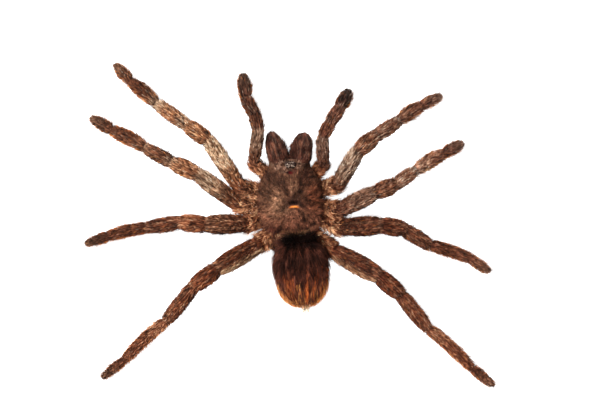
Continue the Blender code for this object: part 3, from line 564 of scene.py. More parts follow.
class Sheet:
    """A stretch of skin. Rows run the way the hairs lie and columns run round it, where turn 0 is the top."""

    def __init__(self, points, level, turn, closed=True):
        self.points = points
        self.level = np.asarray(level, float)
        self.turn = np.asarray(turn, float)
        self.closed = closed
        along = np.gradient(points, axis=0)
        if closed:
            around = np.roll(points, -1, axis=1) - np.roll(points, 1, axis=1)
            centre = points.mean(axis=1, keepdims=True)
        else:
            around = np.gradient(points, axis=1)
            centre = points.mean(axis=(0, 1))
        normals = unit(np.cross(around, along))
        self.normals = normals * np.sign((normals * (points - centre)).sum())
        steps = np.linalg.norm(np.diff(points, axis=0), axis=2).mean(axis=1)
        self.reach = np.concatenate([[0.0], np.cumsum(steps)])
        self.tip_way = unit((points[-1] - points[-3]).mean(axis=0))
        self.girth = np.maximum(np.linalg.norm(self.steps_round(), axis=2).sum(axis=1), LEAST_GIRTH)

    def steps_round(self):
        """From each point to its neighbour in the next column."""
        if self.closed:
            return np.roll(self.points, -1, axis=1) - self.points
        return self.points[:, 1:] - self.points[:, :-1]

    def at(self, row, column):
        """Points and outward directions at broken row and column numbers."""
        rows, columns = self.points.shape[:2]
        row = np.clip(row, 0, rows - 1.001)
        i = row.astype(int)
        a = (row - i)[:, None]
        if self.closed:
            column = column % columns
            j = column.astype(int) % columns
            k = (j + 1) % columns
        else:
            column = np.clip(column, 0, columns - 1.001)
            j = column.astype(int)
            k = j + 1
        b = (column - np.floor(column))[:, None]

        def mixed(grid):
            near = grid[i, j] * (1 - a) + grid[i + 1, j] * a
            far = grid[i, k] * (1 - a) + grid[i + 1, k] * a
            return near * (1 - b) + far * b

        return mixed(self.points), unit(mixed(self.normals))

    def scatter(self, count, draw, wanted=None):
        """Broken row and column numbers of roots spread evenly over the skin, or as wanted says."""
        across = self.steps_round()
        down = (self.points[1:] - self.points[:-1])[:, : across.shape[1]]
        weight = np.linalg.norm(np.cross(across[:-1], down), axis=2)
        cells = weight.shape[1]
        if wanted is not None:
            level = 0.5 * (self.level[1:] + self.level[:-1])
            turn = self.turn[:cells]
            weight = weight * wanted(level[:, None], turn[None, :])
        chosen = draw.choice(weight.size, count, p=weight.ravel() / weight.sum())
        row = chosen // cells + draw.random(count)
        column = chosen % cells + draw.random(count)
        return row, column

    def levels(self, row):
        return np.interp(row, np.arange(len(self.level)), self.level)

    def turns(self, column):
        step = self.turn[1] - self.turn[0]
        return self.turn[0] + column * step

    def comb(self, row, column, length, heights, sway):
        """Hair lines that follow the rows, as (sections, hairs, 3), and the skin's directions there."""
        numbers = np.arange(len(self.reach))
        start = np.interp(row, numbers, self.reach)
        length = np.minimum(length, END_SHARE * (self.reach[-1] - start) + OVERHANG)
        columns = self.points.shape[1]
        places = []
        outs = []
        for share, height in zip(np.linspace(0, 1, len(heights)), heights):
            distance = start + length * share
            there = np.interp(distance, self.reach, numbers)
            per_mm = columns / np.interp(there, numbers, self.girth)
            drift = np.clip(sway * length * share * per_mm, -MOST_DRIFT, MOST_DRIFT)
            place, out = self.at(there, column + drift)
            beyond = np.maximum(distance - self.reach[-1], 0)[:, None]
            places.append(place + out * np.asarray(height).reshape(-1, 1) + self.tip_way * beyond)
            outs.append(out)
        return np.array(places), np.array(outs)


# Meshes

def add_object(name, data):
    """An object in the scene for a mesh, a lamp or a camera."""
    made = bpy.data.objects.new(name, data)
    bpy.context.scene.collection.objects.link(made)
    return made


def new_object(name, points, faces, finish, lie=None, tint=None):
    """A mesh object from points in millimetres, with its colour and its lie as attributes."""
    mesh = bpy.data.meshes.new(name)
    mesh.from_pydata(((points - MIDDLE) * MM).tolist(), [], faces)
    if signed_volume(points, mesh) < 0:
        mesh.flip_normals()
    dress(mesh, tint, lie)
    mesh.shade_smooth()
    mesh.materials.append(finish)
    return add_object(name, mesh)


def signed_volume(points, mesh):
    mesh.calc_loop_triangles()
    triangles = np.empty(3 * len(mesh.loop_triangles), np.int32)
    mesh.loop_triangles.foreach_get("vertices", triangles)
    corners = points[triangles.reshape(-1, 3)]
    return float(np.linalg.det(corners).sum())


def dress(mesh, tint, lie):
    if tint is not None:
        layer = mesh.attributes.new("tint", "FLOAT_COLOR", "POINT")
        rgba = np.ones((len(mesh.vertices), 4), np.float32)
        rgba[:, :3] = tint
        layer.data.foreach_set("color", rgba.ravel())
    if lie is not None:
        layer = mesh.attributes.new("lie", "FLOAT_VECTOR", "POINT")
        layer.data.foreach_set("vector", np.asarray(lie, np.float32).ravel())


def tube_faces(rows, columns, start=0):
    """Faces of a closed tube of rows by columns of points, with its two ends."""
    faces = []
    for i in range(rows - 1):
        for j in range(columns):
            k = (j + 1) % columns
            low = start + i * columns
            high = low + columns
            faces.append((low + j, low + k, high + k, high + j))
    faces.append(tuple(start + j for j in range(columns)))
    faces.append(tuple(start + (rows - 1) * columns + j for j in reversed(range(columns))))
    return faces


def sheet_lie(sheet, number):
    """For each point of a sheet: millimetres along it and round it, and the sheet's own number."""
    rows, columns = sheet.points.shape[:2]
    along = np.repeat(sheet.reach[:, None], columns, axis=1)
    around = sheet.girth[:, None] * (np.arange(columns) / columns)[None, :]
    return np.stack([along, around, np.full((rows, columns), 7.0 * number)], axis=-1).reshape(-1, 3)


TUFT_TAPER = {2: (0.8, 1.0), 3: (0.75, 1.0, 0.66)}
TUFT_RIDGE = 1.05  # height of a tuft's ridge as a share of its half width
TUFT_SHADE = {2: (0.52, 0.98, 1.24), 3: (0.5, 0.9, 1.08, 1.26)}  # from root to tip
TUFT_PATCH = 0.003  # side of a tuft's patch in the bake's unwrap
BAKE_MARGIN = 0.005
BAKE_SPAN = 0.99


def tuft_triangles(rings):
    triangles = [(0, 2, 1)]
    for r in range(rings - 1):
        for i in range(3):
            j = (i + 1) % 3
            low = 3 * r
            high = low + 3
            triangles += [(low + i, low + j, high + j), (low + i, high + j, high + i)]
    last = 3 * (rings - 1)
    triangles += [(last + i, last + (i + 1) % 3, last + 3) for i in range(3)]
    return np.array(triangles)


def add_tufts(name, batches, finish):
    """One mesh of closed three-sided tufts. A batch is (lines, outs, widths, colours, bake places)."""
    points = []
    triangles = []
    tints = []
    patches = []
    total = 0
    for lines, outs, widths, tint, place in batches:
        rings = len(lines) - 1
        count = lines.shape[1]
        each = 3 * rings + 1
        body = np.empty((count, each, 3))
        shade = np.empty((count, each))
        offset = np.zeros((each, 2))
        for r in range(rings):
            along = unit(lines[r + 1] - lines[r])
            across = unit(np.cross(along, outs[r]))
            lift = np.cross(across, along)
            half = (0.5 * widths * TUFT_TAPER[rings][r])[:, None]
            body[:, 3 * r] = lines[r] + across * half
            body[:, 3 * r + 1] = lines[r] - across * half
            body[:, 3 * r + 2] = lines[r] + lift * half * TUFT_RIDGE
            shade[:, 3 * r : 3 * r + 3] = TUFT_SHADE[rings][r]
            for i, side in enumerate((-0.5, 0.5, 0.0)):
                offset[3 * r + i] = (side, r / rings - 0.5)
        body[:, -1] = lines[-1]
        shade[:, -1] = TUFT_SHADE[rings][-1]
        offset[-1] = (0.0, 0.5)
        body[:, :, 2] = np.maximum(body[:, :, 2], FLOOR_CLEAR)
        pattern = tuft_triangles(rings)
        starts = total + each * np.arange(count)
        triangles.append((pattern[None] + starts[:, None, None]).reshape(-1, 3))
        points.append(body.reshape(-1, 3))
        tints.append((tint[:, None, :] * shade[:, :, None]).reshape(-1, 3))
        patches.append((place[:, None, :] + offset[None] * TUFT_PATCH).reshape(-1, 2))
        total += each * count
    points = np.concatenate(points)
    triangles = np.concatenate(triangles)
    if np.linalg.det(points[triangles[:20000]] - points[triangles[:20000, :1]].mean(axis=0)).sum() < 0:
        triangles = triangles[:, ::-1]
    mesh = bpy.data.meshes.new(name)
    mesh.vertices.add(len(points))
    mesh.vertices.foreach_set("co", ((points - MIDDLE) * MM).astype(np.float32).ravel())
    mesh.loops.add(triangles.size)
    mesh.loops.foreach_set("vertex_index", triangles.astype(np.int32).ravel())
    mesh.polygons.add(len(triangles))
    mesh.polygons.foreach_set("loop_start", np.arange(0, triangles.size, 3, dtype=np.int32))
    mesh.update(calc_edges=True)
    dress(mesh, np.concatenate(tints), None)
    layer = mesh.uv_layers.new(name="OFBake")
    layer.data.foreach_set("uv", np.concatenate(patches)[triangles.ravel()].astype(np.float32).ravel())
    mesh.shade_smooth()
    mesh.materials.append(finish)
    made = add_object(name, mesh)
    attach(made, "root")
    return made


def unwrapped(across, down):
    """Places on the bake's map from shares across and down it, clear of its edges."""
    return BAKE_MARGIN + BAKE_SPAN * np.stack([across, down], axis=-1)


def bake_places(sheet, row, column):
    """Where each root lies on an unwrap of the sheet, with a margin for the patches."""
    rows, columns = sheet.points.shape[:2]
    return unwrapped((column % columns) / columns, row / rows)


CLUMP_LENGTH = 2.4  # of a clump, as a share of its pitch
CLUMP_SEED = 3
CLUMP_CROWN = 1.2  # how high hairs stand in the middle of a clump
CLUMP_DROOP = 0.6  # and how much lower at its edge
CLUMP_EDGE = 0.45  # square of the share of the way out past which a clump's hairs are darker
UNEVEN = 0.4  # how much the height differs from tuft to tuft
SHORTEST = 0.3  # hairs shorter than this are gathered as if they had this length
TUFT_NOISE = 0.48  # how much the brightness differs from tuft to tuft
MOST_TONE = 2.4  # the most that a tuft may be brightened


def clump_offset(along, around, pitch, seed):
    """How far places lie from the middle line of their clump, in millimetres, and a number for it."""
    wander = grain(along / (5 * pitch), around / (2 * pitch), seed) - 0.5
    shifted = around / pitch + 1.6 * wander
    cell = np.floor(shifted)
    stretch = np.floor(along / (CLUMP_LENGTH * pitch) + 0.37 * cell)
    lot = np.sin(cell * 91.7 + stretch * 47.3 + seed) * 4375.85
    return (shifted - cell - 0.5) * pitch, lot - np.floor(lot)


class Layer(NamedTuple):
    """How one batch of tufts grows, in millimetres and in shares of each hair's length."""

    length: object  # a number, or a function of level and turn
    width: float
    heights: tuple  # above the skin from root to tip, where those after the root's are shares of the depth
    sway: float = 0.1
    varied: float = 0.25
    pitch: float = 0.8  # width of a clump
    gather: float = 0.8  # how strongly tips are drawn to the middle of their clump
    contrast: float = 0.7  # between the middles and the edges of clumps
    brightest: float = 0.8  # where light colours level off


def coat_layer(sheet, layer, count, draw, tint, depth=1.0, wanted=None, thick=1.0):
    """A batch of tufts over a sheet. The tips of neighbours are gathered into clumps that are darker
    along their edges. Heights after the root's are shares of the depth, and widths of the thickness."""
    row, column = sheet.scatter(count, draw, wanted)
    level = sheet.levels(row)
    turn = sheet.turns(column)
    lengths = layer.length(level, turn) if callable(layer.length) else layer.length
    lengths = lengths * (1 + draw.uniform(-layer.varied, layer.varied, count))
    widths = layer.width * thick * (1 + draw.uniform(-layer.varied, layer.varied, count))
    around = column / sheet.points.shape[1] * sheet.girth.mean()
    along = np.interp(row, np.arange(len(sheet.reach)), sheet.reach)
    offset, lot = clump_offset(along, around, layer.pitch, CLUMP_SEED)
    edge = (2 * offset / layer.pitch) ** 2
    tall = (1 + draw.uniform(-UNEVEN, UNEVEN, count)) * (CLUMP_CROWN - CLUMP_DROOP * edge)
    lifted = [layer.heights[0] * np.ones(count), *(share * depth * tall for share in layer.heights[1:])]
    sways = layer.sway * draw.normal(0, 1, count) - layer.gather * offset / np.maximum(lengths, SHORTEST)
    lines, outs = sheet.comb(row, column, lengths, lifted, sways)
    colour = tint(level, turn, along, around)
    tone = (1 + layer.contrast * (CLUMP_EDGE - edge)) * (1 + 1.5 * layer.contrast * (lot - 0.5))
    tone = tone * np.exp(draw.normal(0, TUFT_NOISE, count))
    colour = colour * np.minimum(tone, MOST_TONE)[:, None]
    colour = layer.brightest * (1 - np.exp(-colour / layer.brightest))
    return lines, outs, widths, colour, bake_places(sheet, row, column)


# Middle lines and widths of the limbs

def swell(start, middle, end, share, peak):
    """A width that rises from start to middle at the peak and falls to end."""
    grown = start + (middle - start) * np.sin(0.5 * math.pi * np.minimum(share / peak, 1))
    drop = middle + (end - middle) * (1 - np.cos(0.5 * math.pi * rise(share, peak, 1 - peak)))
    return np.where(share < peak, grown, drop)


def heading(sign, turn, pitch):
    """The direction of a segment that turns outwards and pitches up by so many degrees."""
    level = math.cos(math.radians(pitch))
    x = sign * math.sin(math.radians(turn)) * level
    return np.array((x, -math.cos(math.radians(turn)) * level, math.sin(math.radians(pitch))))


def limb_sizes(side, limb):
    """Lengths, widths, widths at the joints, and heights as a share of width."""
    if limb == "palp":
        return PALP_LENGTHS, PALP_WIDTHS, PALP_JOINT_WIDTHS, PALP_HEIGHTS
    share = SHORTER.get((side, limb), 1.0)
    lengths = [length * share for length in LEG_LENGTHS[limb]]
    return lengths, LEG_WIDTHS[limb], LEG_JOINT_WIDTHS[limb], LEG_HEIGHTS


def limb_joints(side, limb):
    """Joints from the femur's base to the tip. A foot that rests gives the pitch of the part before it."""
    place, turns, pitches = POSE[side, limb]
    lengths, widths, _, tall = limb_sizes(side, limb)
    joints = [np.array((*place, BASE_Z[limb]))]
    last = len(lengths) - 1
    for i, length in enumerate(lengths):
        pitch = pitches[i]
        if i == last - 1 and (side, limb) not in RAISED:
            drop = lengths[last] * FOOT_REST * math.sin(math.radians(-pitches[last]))
            end_z = 0.5 * widths[-1] * tall[-1] - FOOT_PRESS + drop
            pitch = math.degrees(math.asin((end_z - joints[-1][2]) / length))
        joints.append(joints[-1] + heading(SIDES[side], turns[i], pitch) * length)
    return joints


def sternum_place(degrees):
    """A place on the sternum's edge, so many degrees from straight ahead, and its outward direction."""
    turn = math.radians(degrees)
    x = math.sin(turn)
    y = -math.cos(turn)
    place = np.array((STERNUM[0] + STERNUM_HALF_WIDTH * x, STERNUM[1] + STERNUM_HALF_LENGTH * y, 0.0))
    return place, unit(np.array((x / STERNUM_HALF_WIDTH, y / STERNUM_HALF_LENGTH, 0.0)))


def rounded_line(corners, radii, step=0.12):
    """Points along straight stretches joined by arcs, and how far along each corner's middle lies."""
    line = [corners[0]]
    middles = []
    for i in range(1, len(corners) - 1):
        before = unit(corners[i] - corners[i - 1])
        after = unit(corners[i + 1] - corners[i])
        angle = max(math.acos(float(np.clip(before @ after, -1, 1))), 1e-4)
        radius = max(radii[i], BEND_REACH / math.tan(angle / 2))
        start = corners[i] - before * radius * math.tan(angle / 2)
        inward = unit(after - before * math.cos(angle))
        count = max(3, math.ceil(radius * angle / step))
        for share in np.linspace(0, 1, 2 * count + 1):
            bent = angle * share
            line.append(start + radius * (before * math.sin(bent) + inward * (1 - math.cos(bent))))
        middles.append(len(line) - 1 - count)
    line.append(corners[-1])
    line = np.array(line)
    gone = np.concatenate([[0.0], np.cumsum(np.linalg.norm(np.diff(line, axis=0), axis=1))])
    return line, gone, [0.0, *(gone[m] for m in middles), gone[-1]]


LIMB_STEP = 0.5  # length of a row of a limb's skin
LIMB_COLUMNS = 26
TIP_START = 1.7  # where the even rows end, before the tip
TIP_REACH = 1.6
TIP_ROWS = 7
LEAST_HALF = 0.05


def limb_sheet(side, limb, inset):
    """The skin of one limb. Level -2 is the sternum's edge, 0 the femur's base and the last its tip."""
    sign = SIDES[side]
    lengths, widths, joint_widths, tall = limb_sizes(side, limb)
    joints = limb_joints(side, limb)
    edge_place, out = sternum_place(sign * COXA_ROUND[limb])
    inner = edge_place + UP * COXA_INNER_Z
    edge = inner + (joints[0] - inner) * COXA_EDGE_SHARE[limb]
    edge[2] = COXA_EDGE_Z
    corners = [inner - out * COXA_SUNK, edge, *joints]
    radii = [0, COXA_BEND, *(0.5 * w * max(1.0, t) + BEND_CLEAR for w, t in zip(joint_widths, tall))]
    line, gone, marks = rounded_line(corners, radii + [0, 0])
    count = math.ceil(gone[-1] / LIMB_STEP)
    tip_rows = gone[-1] - TIP_REACH * (1 - np.sin(np.linspace(0, 0.5 * math.pi, TIP_ROWS)))
    places = np.concatenate([np.linspace(0, gone[-1] - TIP_START, count), tip_rows[1:]])
    middle = np.stack([np.interp(places, gone, line[:, i]) for i in range(3)], axis=-1)
    level = np.interp(places, marks, [-2.0, -1.0, *range(len(joints))])
    wide, high = limb_halves(limb, level, widths, joint_widths, tall)
    if limb != "palp":
        share = np.clip(level - 3, 0, 1)
        middle += FORWARD * (METATARSUS_BOW[limb] * np.sin(math.pi * share))[:, None]
    along = unit(np.gradient(middle, axis=0))
    front = unit(np.cross(along, UP)) * sign
    up = unit(np.cross(front, along)) * sign
    turn = full_turn(LIMB_COLUMNS)
    across = np.outer(np.maximum(wide - inset, LEAST_HALF), np.sin(turn))
    above = np.outer(np.maximum(high - inset, LEAST_HALF), np.cos(turn))
    points = tube_points(middle, front[:, None], up[:, None], across, above)
    floor = FLOOR_CLEAR + 0.5 * inset
    low = points[..., 2] < FOOT_SNAP + floor
    points[..., 2] = np.where(low, np.maximum(points[..., 2], floor), points[..., 2])
    return Sheet(points, level, turn)


def limb_halves(limb, level, widths, joint_widths, tall):
    """Half width and half height at each level of a limb."""
    last = len(widths) - 1
    edge_width, edge_height = COXA_EDGE[limb]
    first = 0.5 * joint_widths[0]
    wide = (COXA_INNER[0] / 2, 0.465 * edge_width, 0.5 * edge_width, 0.96 * first, first)
    high = (COXA_INNER[1] / 2, 0.465 * edge_height, 0.5 * edge_height, 0.96 * first, first * tall[0])
    half_width = np.interp(level, COXA_LEVELS, wide)
    half_height = np.interp(level, COXA_LEVELS, high)
    tall_levels = [0.0, *(i + end for i in range(last + 1) for end in (0.15, 0.85))]
    tallness = np.interp(level, tall_levels, [tall[0], *(value for value in tall for _ in range(2))])
    for i in range(last + 1):
        share = np.clip(level - i, 0, 1)
        peak = TARSUS_PEAK if i == last else SWELL_PEAK
        grown = 0.5 * swell(joint_widths[i], widths[i], joint_widths[i + 1], share, peak)
        inside = (level >= i) & (level <= i + 1)
        half_width = np.where(inside, grown, half_width)
        half_height = np.where(inside, grown * tallness, half_height)
    tip = rise(level - last, TARSUS_ROUND, 1 - TARSUS_ROUND)
    round_off = np.sqrt(np.maximum(1 - tip * tip, 0))
    joints = range(0, last + 1)
    pinch = 1 - JOINT_PINCH * sum(
        np.exp(-(((level - i) * SEGMENT_LENGTH / JOINT_PINCH_LENGTH) ** 2) / 2) for i in joints
    )
    return half_width * round_off * pinch, half_height * round_off * pinch


# Colours of the limbs

def limb_tint(side, limb):
    """A function that gives the coat's colour at each place of one limb."""
    palp = limb == "palp"
    number = 10 * SIDES[side] + (5 if palp else limb)
    pale = PALENESS[side, limb]
    hue = np.array(LIMB_HUES[side, limb])
    base_pale = BASE_PALENESS.get((side, limb), USUAL_BASE_PALENESS)
    joint_pale = 0.5 if side == "left" and limb in (1, 2) else 0.2
    bare = 0.0 if palp else 0.2
    places = [i + end for i in range(len(pale)) for end in (0.1, 0.9)]
    pales = [value for value in pale for _ in range(2)]
    shades = [value for value in LIMB_SHADES[side, limb] for _ in range(2)]

    def tint(level, turn, along, around):
        stretch = np.where(level > 3, level + 1, level) if palp else level
        streak, patch, speck, hole, tuft = grains(LIMB_GRAIN, along, around, number)
        # paleness paints pale hair and, on the front legs, a painted sheen
        paleness = np.interp(level, [-1.0, -0.1, *places], [0.5 * pale[0], 0.5 * pale[0], *pales])
        amount = paleness * (0.5 + 0.7 * streak + 0.4 * speck) * (0.85 + 0.3 * patch)
        colour = blend(ramp(stretch, DARK_COAT), ramp(stretch, PALE_COAT), amount)
        # whitish patches on the top of the limb: pale hair, and painted sheen in part
        for place, half, strength in PALE_PATCHES_AND_SHEEN.get((side, limb), ()):
            patch_and_sheen = np.exp(-(((level - place) / half) ** 2)) * window(turn, -0.9, 1.2, 0.4)
            colour = paint(colour, PALE_PATCH_AND_SHEEN_COAT, strength * patch_and_sheen * (0.3 + 0.9 * streak))
        share = level - np.floor(level)
        long_enough = window(level, 0.12, 2.92, 0.05) * window(share, 0.12, 0.86, 0.08)
        stripe = np.exp(-(((np.abs(turn) - BARE_STRIPE_TURN) / BARE_STRIPE_HALF) ** 2))
        colour = paint(colour, BARE_STRIPE, bare * stripe * long_enough * (0.4 + 0.9 * streak))
        for joint in (1, 2, 3):
            before = window(level, joint - 0.075, joint - 0.02, 0.03)
            after = window(level, joint + 0.02, joint + 0.06, 0.04)
            colour = paint(colour, JOINT_PALE, joint_pale * before * (0.4 + streak))
            colour = paint(colour, JOINT_DARK, 0.5 * after * (0.4 + patch))
        outer = window(stretch, 3.1, 4.9, 0.15) * window(np.abs(turn), 1.35, 2.6, 0.3)
        rear = np.where(turn < 0, 1.0, 0.45)
        colour = paint(colour, FRINGE, outer * rear * (0.1 + 0.68 * speck))
        flank = window(stretch, 2.1, 3.0, 0.1) * window(-turn, 1.5, 2.3, 0.3)
        colour = paint(colour, FRINGE, 0.25 * flank * patch)
        # Painted shade: the underside and the lower edges seen from above go dark, starting higher on the
        # rear flank than on the front
        under = np.clip((np.where(turn < 0, -turn - 1.05, turn - 1.4)) / 0.45, 0, 1)
        colour = paint(colour, UNDERSIDE_SHADE, 0.9 * under * window(stretch, -0.2, 3.0, 0.2))
        if limb == 4:
            flank = window(level, 0.05, 0.97, 0.06) * window(-turn, 0.62, 1.75, 0.14)
            colour = paint(colour, FLANK_PALE, FLANK_STRENGTH[side] * flank * (0.6 + 0.7 * streak))
        base = window(level, -1.7, -0.12, 0.15)
        colour = paint(colour, BASE_PALE, base_pale * base * rise(tuft, 0.6, 0.12))
        colour = colour * (1 + (hue - 1) * (level[..., None] > -0.2))
        shade = np.interp(level, [-0.2, *places], [1.0, *shades])
        gap = 1 - 0.8 * base * fall(tuft, 0.42, 0.15)
        fine = (0.72 + 0.56 * streak) * (0.82 + 0.36 * patch) * (0.22 + 1.54 * speck)
        return colour * LIMB_WARMTH * (fine * gap * (0.25 + 0.75 * rise(hole, 0.16, 0.14)) * shade)[..., None]

    return tint


# Abdomen

def abdomen_axes():
    """Directions along the abdomen, across it and up from it."""
    level = np.array((-math.sin(ABDOMEN_YAW), math.cos(ABDOMEN_YAW), 0.0))
    along = unit(level * ABDOMEN_LENGTH + UP * ABDOMEN_RISE)
    return along, *square_to(along)


def abdomen_points(degrees, turn, inset):
    """Its outline at degrees from the front pole and at turns from the top, where both are grids."""
    along, across, up = abdomen_axes()
    widest = ABDOMEN_FRONT + along * ABDOMEN_LENGTH * ABDOMEN_WIDEST
    front = np.cos(np.radians(degrees))
    ahead = front > 0
    power = 2 / np.where(ahead, *ABDOMEN_ROUNDNESS)
    reach = ABDOMEN_LENGTH * np.where(ahead, ABDOMEN_WIDEST, 1 - ABDOMEN_WIDEST) - inset
    spread = np.sin(np.radians(degrees)) ** power
    back = -np.sign(front) * np.abs(front) ** power * reach
    wide = (ABDOMEN_WIDTH / 2 - inset) * spread * np.sin(turn)
    lift = np.where(np.cos(turn) < 0, 1 - ABDOMEN_FRONT_LIFT * np.maximum(front, 0), 1.0)
    high = (ABDOMEN_HEIGHT / 2 - inset) * lift * spread * np.cos(turn)
    return widest + along * back[..., None] + across * wide[..., None] + up * high[..., None]


def abdomen_sheet(inset, rows=70, columns=64):
    even = np.linspace(0, math.pi, rows)
    degrees = ABDOMEN_DEGREES[0] + (ABDOMEN_DEGREES[1] - ABDOMEN_DEGREES[0]) * (even / math.pi)
    turn = full_turn(columns)
    grid_degrees, grid_turn = np.meshgrid(degrees, turn, indexing="ij")
    return Sheet(abdomen_points(grid_degrees, grid_turn, inset), degrees, turn)


def abdomen_tint(level, turn, along, around):
    """Black in front, dark brown with red flanks, and orange streaks that gather at the spinnerets."""
    streak, thin, speck, patch, fleck, hole = grains(ABDOMEN_GRAIN, along, around)
    level, turn = np.broadcast_arrays(level, turn)
    beside = 0.5 * ABDOMEN_WIDTH * np.sin(np.radians(level)) ** (2 / ABDOMEN_ROUNDNESS[0]) * np.sin(turn)
    colour = np.broadcast_to(linear(ABDOMEN_BROWN), (*level.shape, 3))
    flank = window(np.abs(turn), 0.75, 1.9, 0.35) * fall(level, 120, 40)
    colour = paint(colour, ABDOMEN_RED, 0.4 * flank * (0.2 + 0.8 * streak))
    band = window(level, 50, 58, 7) * window(beside, -6, 4.5, 1.5)
    colour = paint(colour, ABDOMEN_RED, 0.6 * band * (0.3 + streak))
    wide = window(beside, -7.4 + 2 * patch, 2.6 + 2 * patch, 1.6) * (np.cos(turn) > 0)
    black = window(level, -20, 45 + 12 * (patch - 0.5), 12) * wide
    grey = 0.5 * window(level, 62, 92, 18) * wide
    colour = paint(colour, ABDOMEN_BLACK, np.maximum(black, grey * (0.4 + patch)))
    colour = paint(colour, ABDOMEN_RED, 0.75 * rise(level, 76, 30))
    rust = rise(level, 84, 50) * rise(thin, 0.6, 0.07) * (0.3 + 0.8 * patch)
    colour = paint(colour, ABDOMEN_RUST, rust * (1 - 0.3 * (turn > 0.15)))
    hollow = window(level, 140, 166, 10) * fall(thin, 0.5, 0.1) * (np.abs(turn) < 1.2)
    colour = paint(colour, ABDOMEN_BLACK, 0.8 * hollow)
    side = rise(np.abs(turn), 1.34 - 0.3 * rise(level, 106, 26), 0.12) * rise(level, 104, 26)
    edge = np.maximum(side, rise(level, 160, 8)) * (1 - 0.85 * rise(np.abs(turn), 1.75, 0.35))
    colour = paint(colour, ABDOMEN_FRINGE, edge * np.clip(0.2 + 1.3 * streak, 0, 1))
    hem = window(level, -5, 14, 6) * window(beside, -6, 4, 1) * rise(thin, 0.4, 0.15)
    colour = paint(colour, CARAPACE_FRINGE, 0.8 * hem)
    gaps = 0.22 + 0.78 * rise(hole, 0.22, 0.15)
    light = rise(fleck, 0.62, 0.1) * (1 - black) - 0.16 * (level < 100) + 0.6 * edge
    return colour * ((0.4 + 0.8 * streak) * (0.2 + 1.5 * speck) * gaps * (1 + 1.3 * light))[..., None]


# Carapace

def on_carapace(x, share, height):
    """Points at x beside the carapace's middle line, share of its length from the front."""
    middle = np.array((CARAPACE_X, CARAPACE_FRONT_Y + CARAPACE_LENGTH / 2, 0.0))
    x, share, height = np.broadcast_arrays(x, share, height)
    local = np.stack([x, CARAPACE_LENGTH * (share - 0.5), height], axis=-1).astype(float)
    return middle + turned(local, CARAPACE_YAW)


def smooth_interp(x, places, values):
    """A smooth curve through named places."""
    places = np.asarray(places, float)
    values = np.asarray(values, float)
    slopes = np.gradient(values, places)
    i = np.clip(np.searchsorted(places, x) - 1, 0, len(places) - 2)
    width = places[i + 1] - places[i]
    t = np.clip((x - places[i]) / width, 0, 1)
    a = (1 + 2 * t) * (1 - t) ** 2 * values[i] + t * (1 - t) ** 2 * width * slopes[i]
    return a + t * t * (3 - 2 * t) * values[i + 1] + t * t * (t - 1) * width * slopes[i + 1]


def line_distance(x, y, start, end):
    """How far points lie from a straight line between two places, and their share along it."""
    way = np.array((end[0] - start[0], end[1] - start[1]))
    share = ((x - start[0]) * way[0] + (y - start[1]) * way[1]) / (way @ way)
    held = np.clip(share, 0, 1)
    return np.hypot(x - start[0] - held * way[0], y - start[1] - held * way[1]), share


def profile(share, column):
    """The shell's half width, column 1, or its height, column 2, at a share of its length."""
    return smooth_interp(share, *([row[i] for row in CARAPACE_PROFILE] for i in (0, column)))


def carapace_relief(x, share):
    """How far the pit, the furrows and the head's grooves lower the shell."""
    y = share * CARAPACE_LENGTH
    fovea_y = FOVEA[1] * CARAPACE_LENGTH
    beside = np.abs(x - FOVEA[0]) / FOVEA_HALF[0]
    bowed = y - fovea_y + 0.12 * (x - FOVEA[0]) ** 2
    lowered = FOVEA_DEPTH * np.exp(-(beside**4) - (bowed / FOVEA_HALF[1]) ** 2)
    for sign in (1, -1):
        end = (sign * HEAD_GROOVE_END[0], HEAD_GROOVE_END[1] * CARAPACE_LENGTH)
        far, along = line_distance(x, y, (FOVEA[0] + sign * 0.8, fovea_y - 2.0), end)
        lowered = lowered + HEAD_GROOVE_DEPTH * np.exp(-((far / 0.8) ** 2)) * window(along, 0.0, 0.8, 0.25)
        for angle in FURROW_ANGLES:
            x_way = math.sin(math.radians(angle))
            y_way = math.cos(math.radians(angle))
            start, end = ((FOVEA[0] + sign * far * x_way, fovea_y - far * y_way) for far in FURROW_REACH)
            far, along = line_distance(x, y, start, end)
            furrow = FURROW_DEPTH * np.exp(-((far / FURROW_WIDTH) ** 2))
            lowered = lowered + furrow * window(along, 0.1, 0.75, 0.25)
    return lowered


def carapace_grid(inset, rows=112, columns=96):
    """Points over the shell's top and down its rim: rows from front to rear, columns from right to left."""
    share = 0.5 - 0.5 * np.cos(np.linspace(0, math.pi, rows))
    share = 0.35 * share + 0.65 * np.linspace(0, 1, rows)
    half = profile(share, 1)
    top = profile(share, 2)
    ends = np.sqrt(1 - (1 - np.minimum(np.clip(share / 0.035, 0, 1), fall(share, 1, 0.05))) ** 2)
    rim = CARAPACE_UNDERSIDE + CARAPACE_RIM
    top = rim + (top - rim) * (0.45 + 0.55 * ends)
    half = (half - inset) * (0.95 + 0.05 * ends)
    column = np.sin(np.linspace(-0.5 * math.pi, 0.5 * math.pi, columns))
    x = half[:, None] * column[None]
    across, steep = CARAPACE_ARCH
    arch = np.maximum(1 - np.abs(column) ** across, 0) ** steep
    height = rim + (top - rim)[:, None] * arch[None] - inset
    inner = window(np.abs(column), 0, 0.9, 0.1)[None] * window(share, 0.06, 0.97, 0.05)[:, None]
    height = height - carapace_relief(x, share[:, None]) * inner
    height = height + 0.22 * np.exp(-(((share[:, None] - 0.3) * CARAPACE_LENGTH) / 5) ** 2 - (x / 4.5) ** 2)
    return on_carapace(x, share[:, None], height), share, column, x


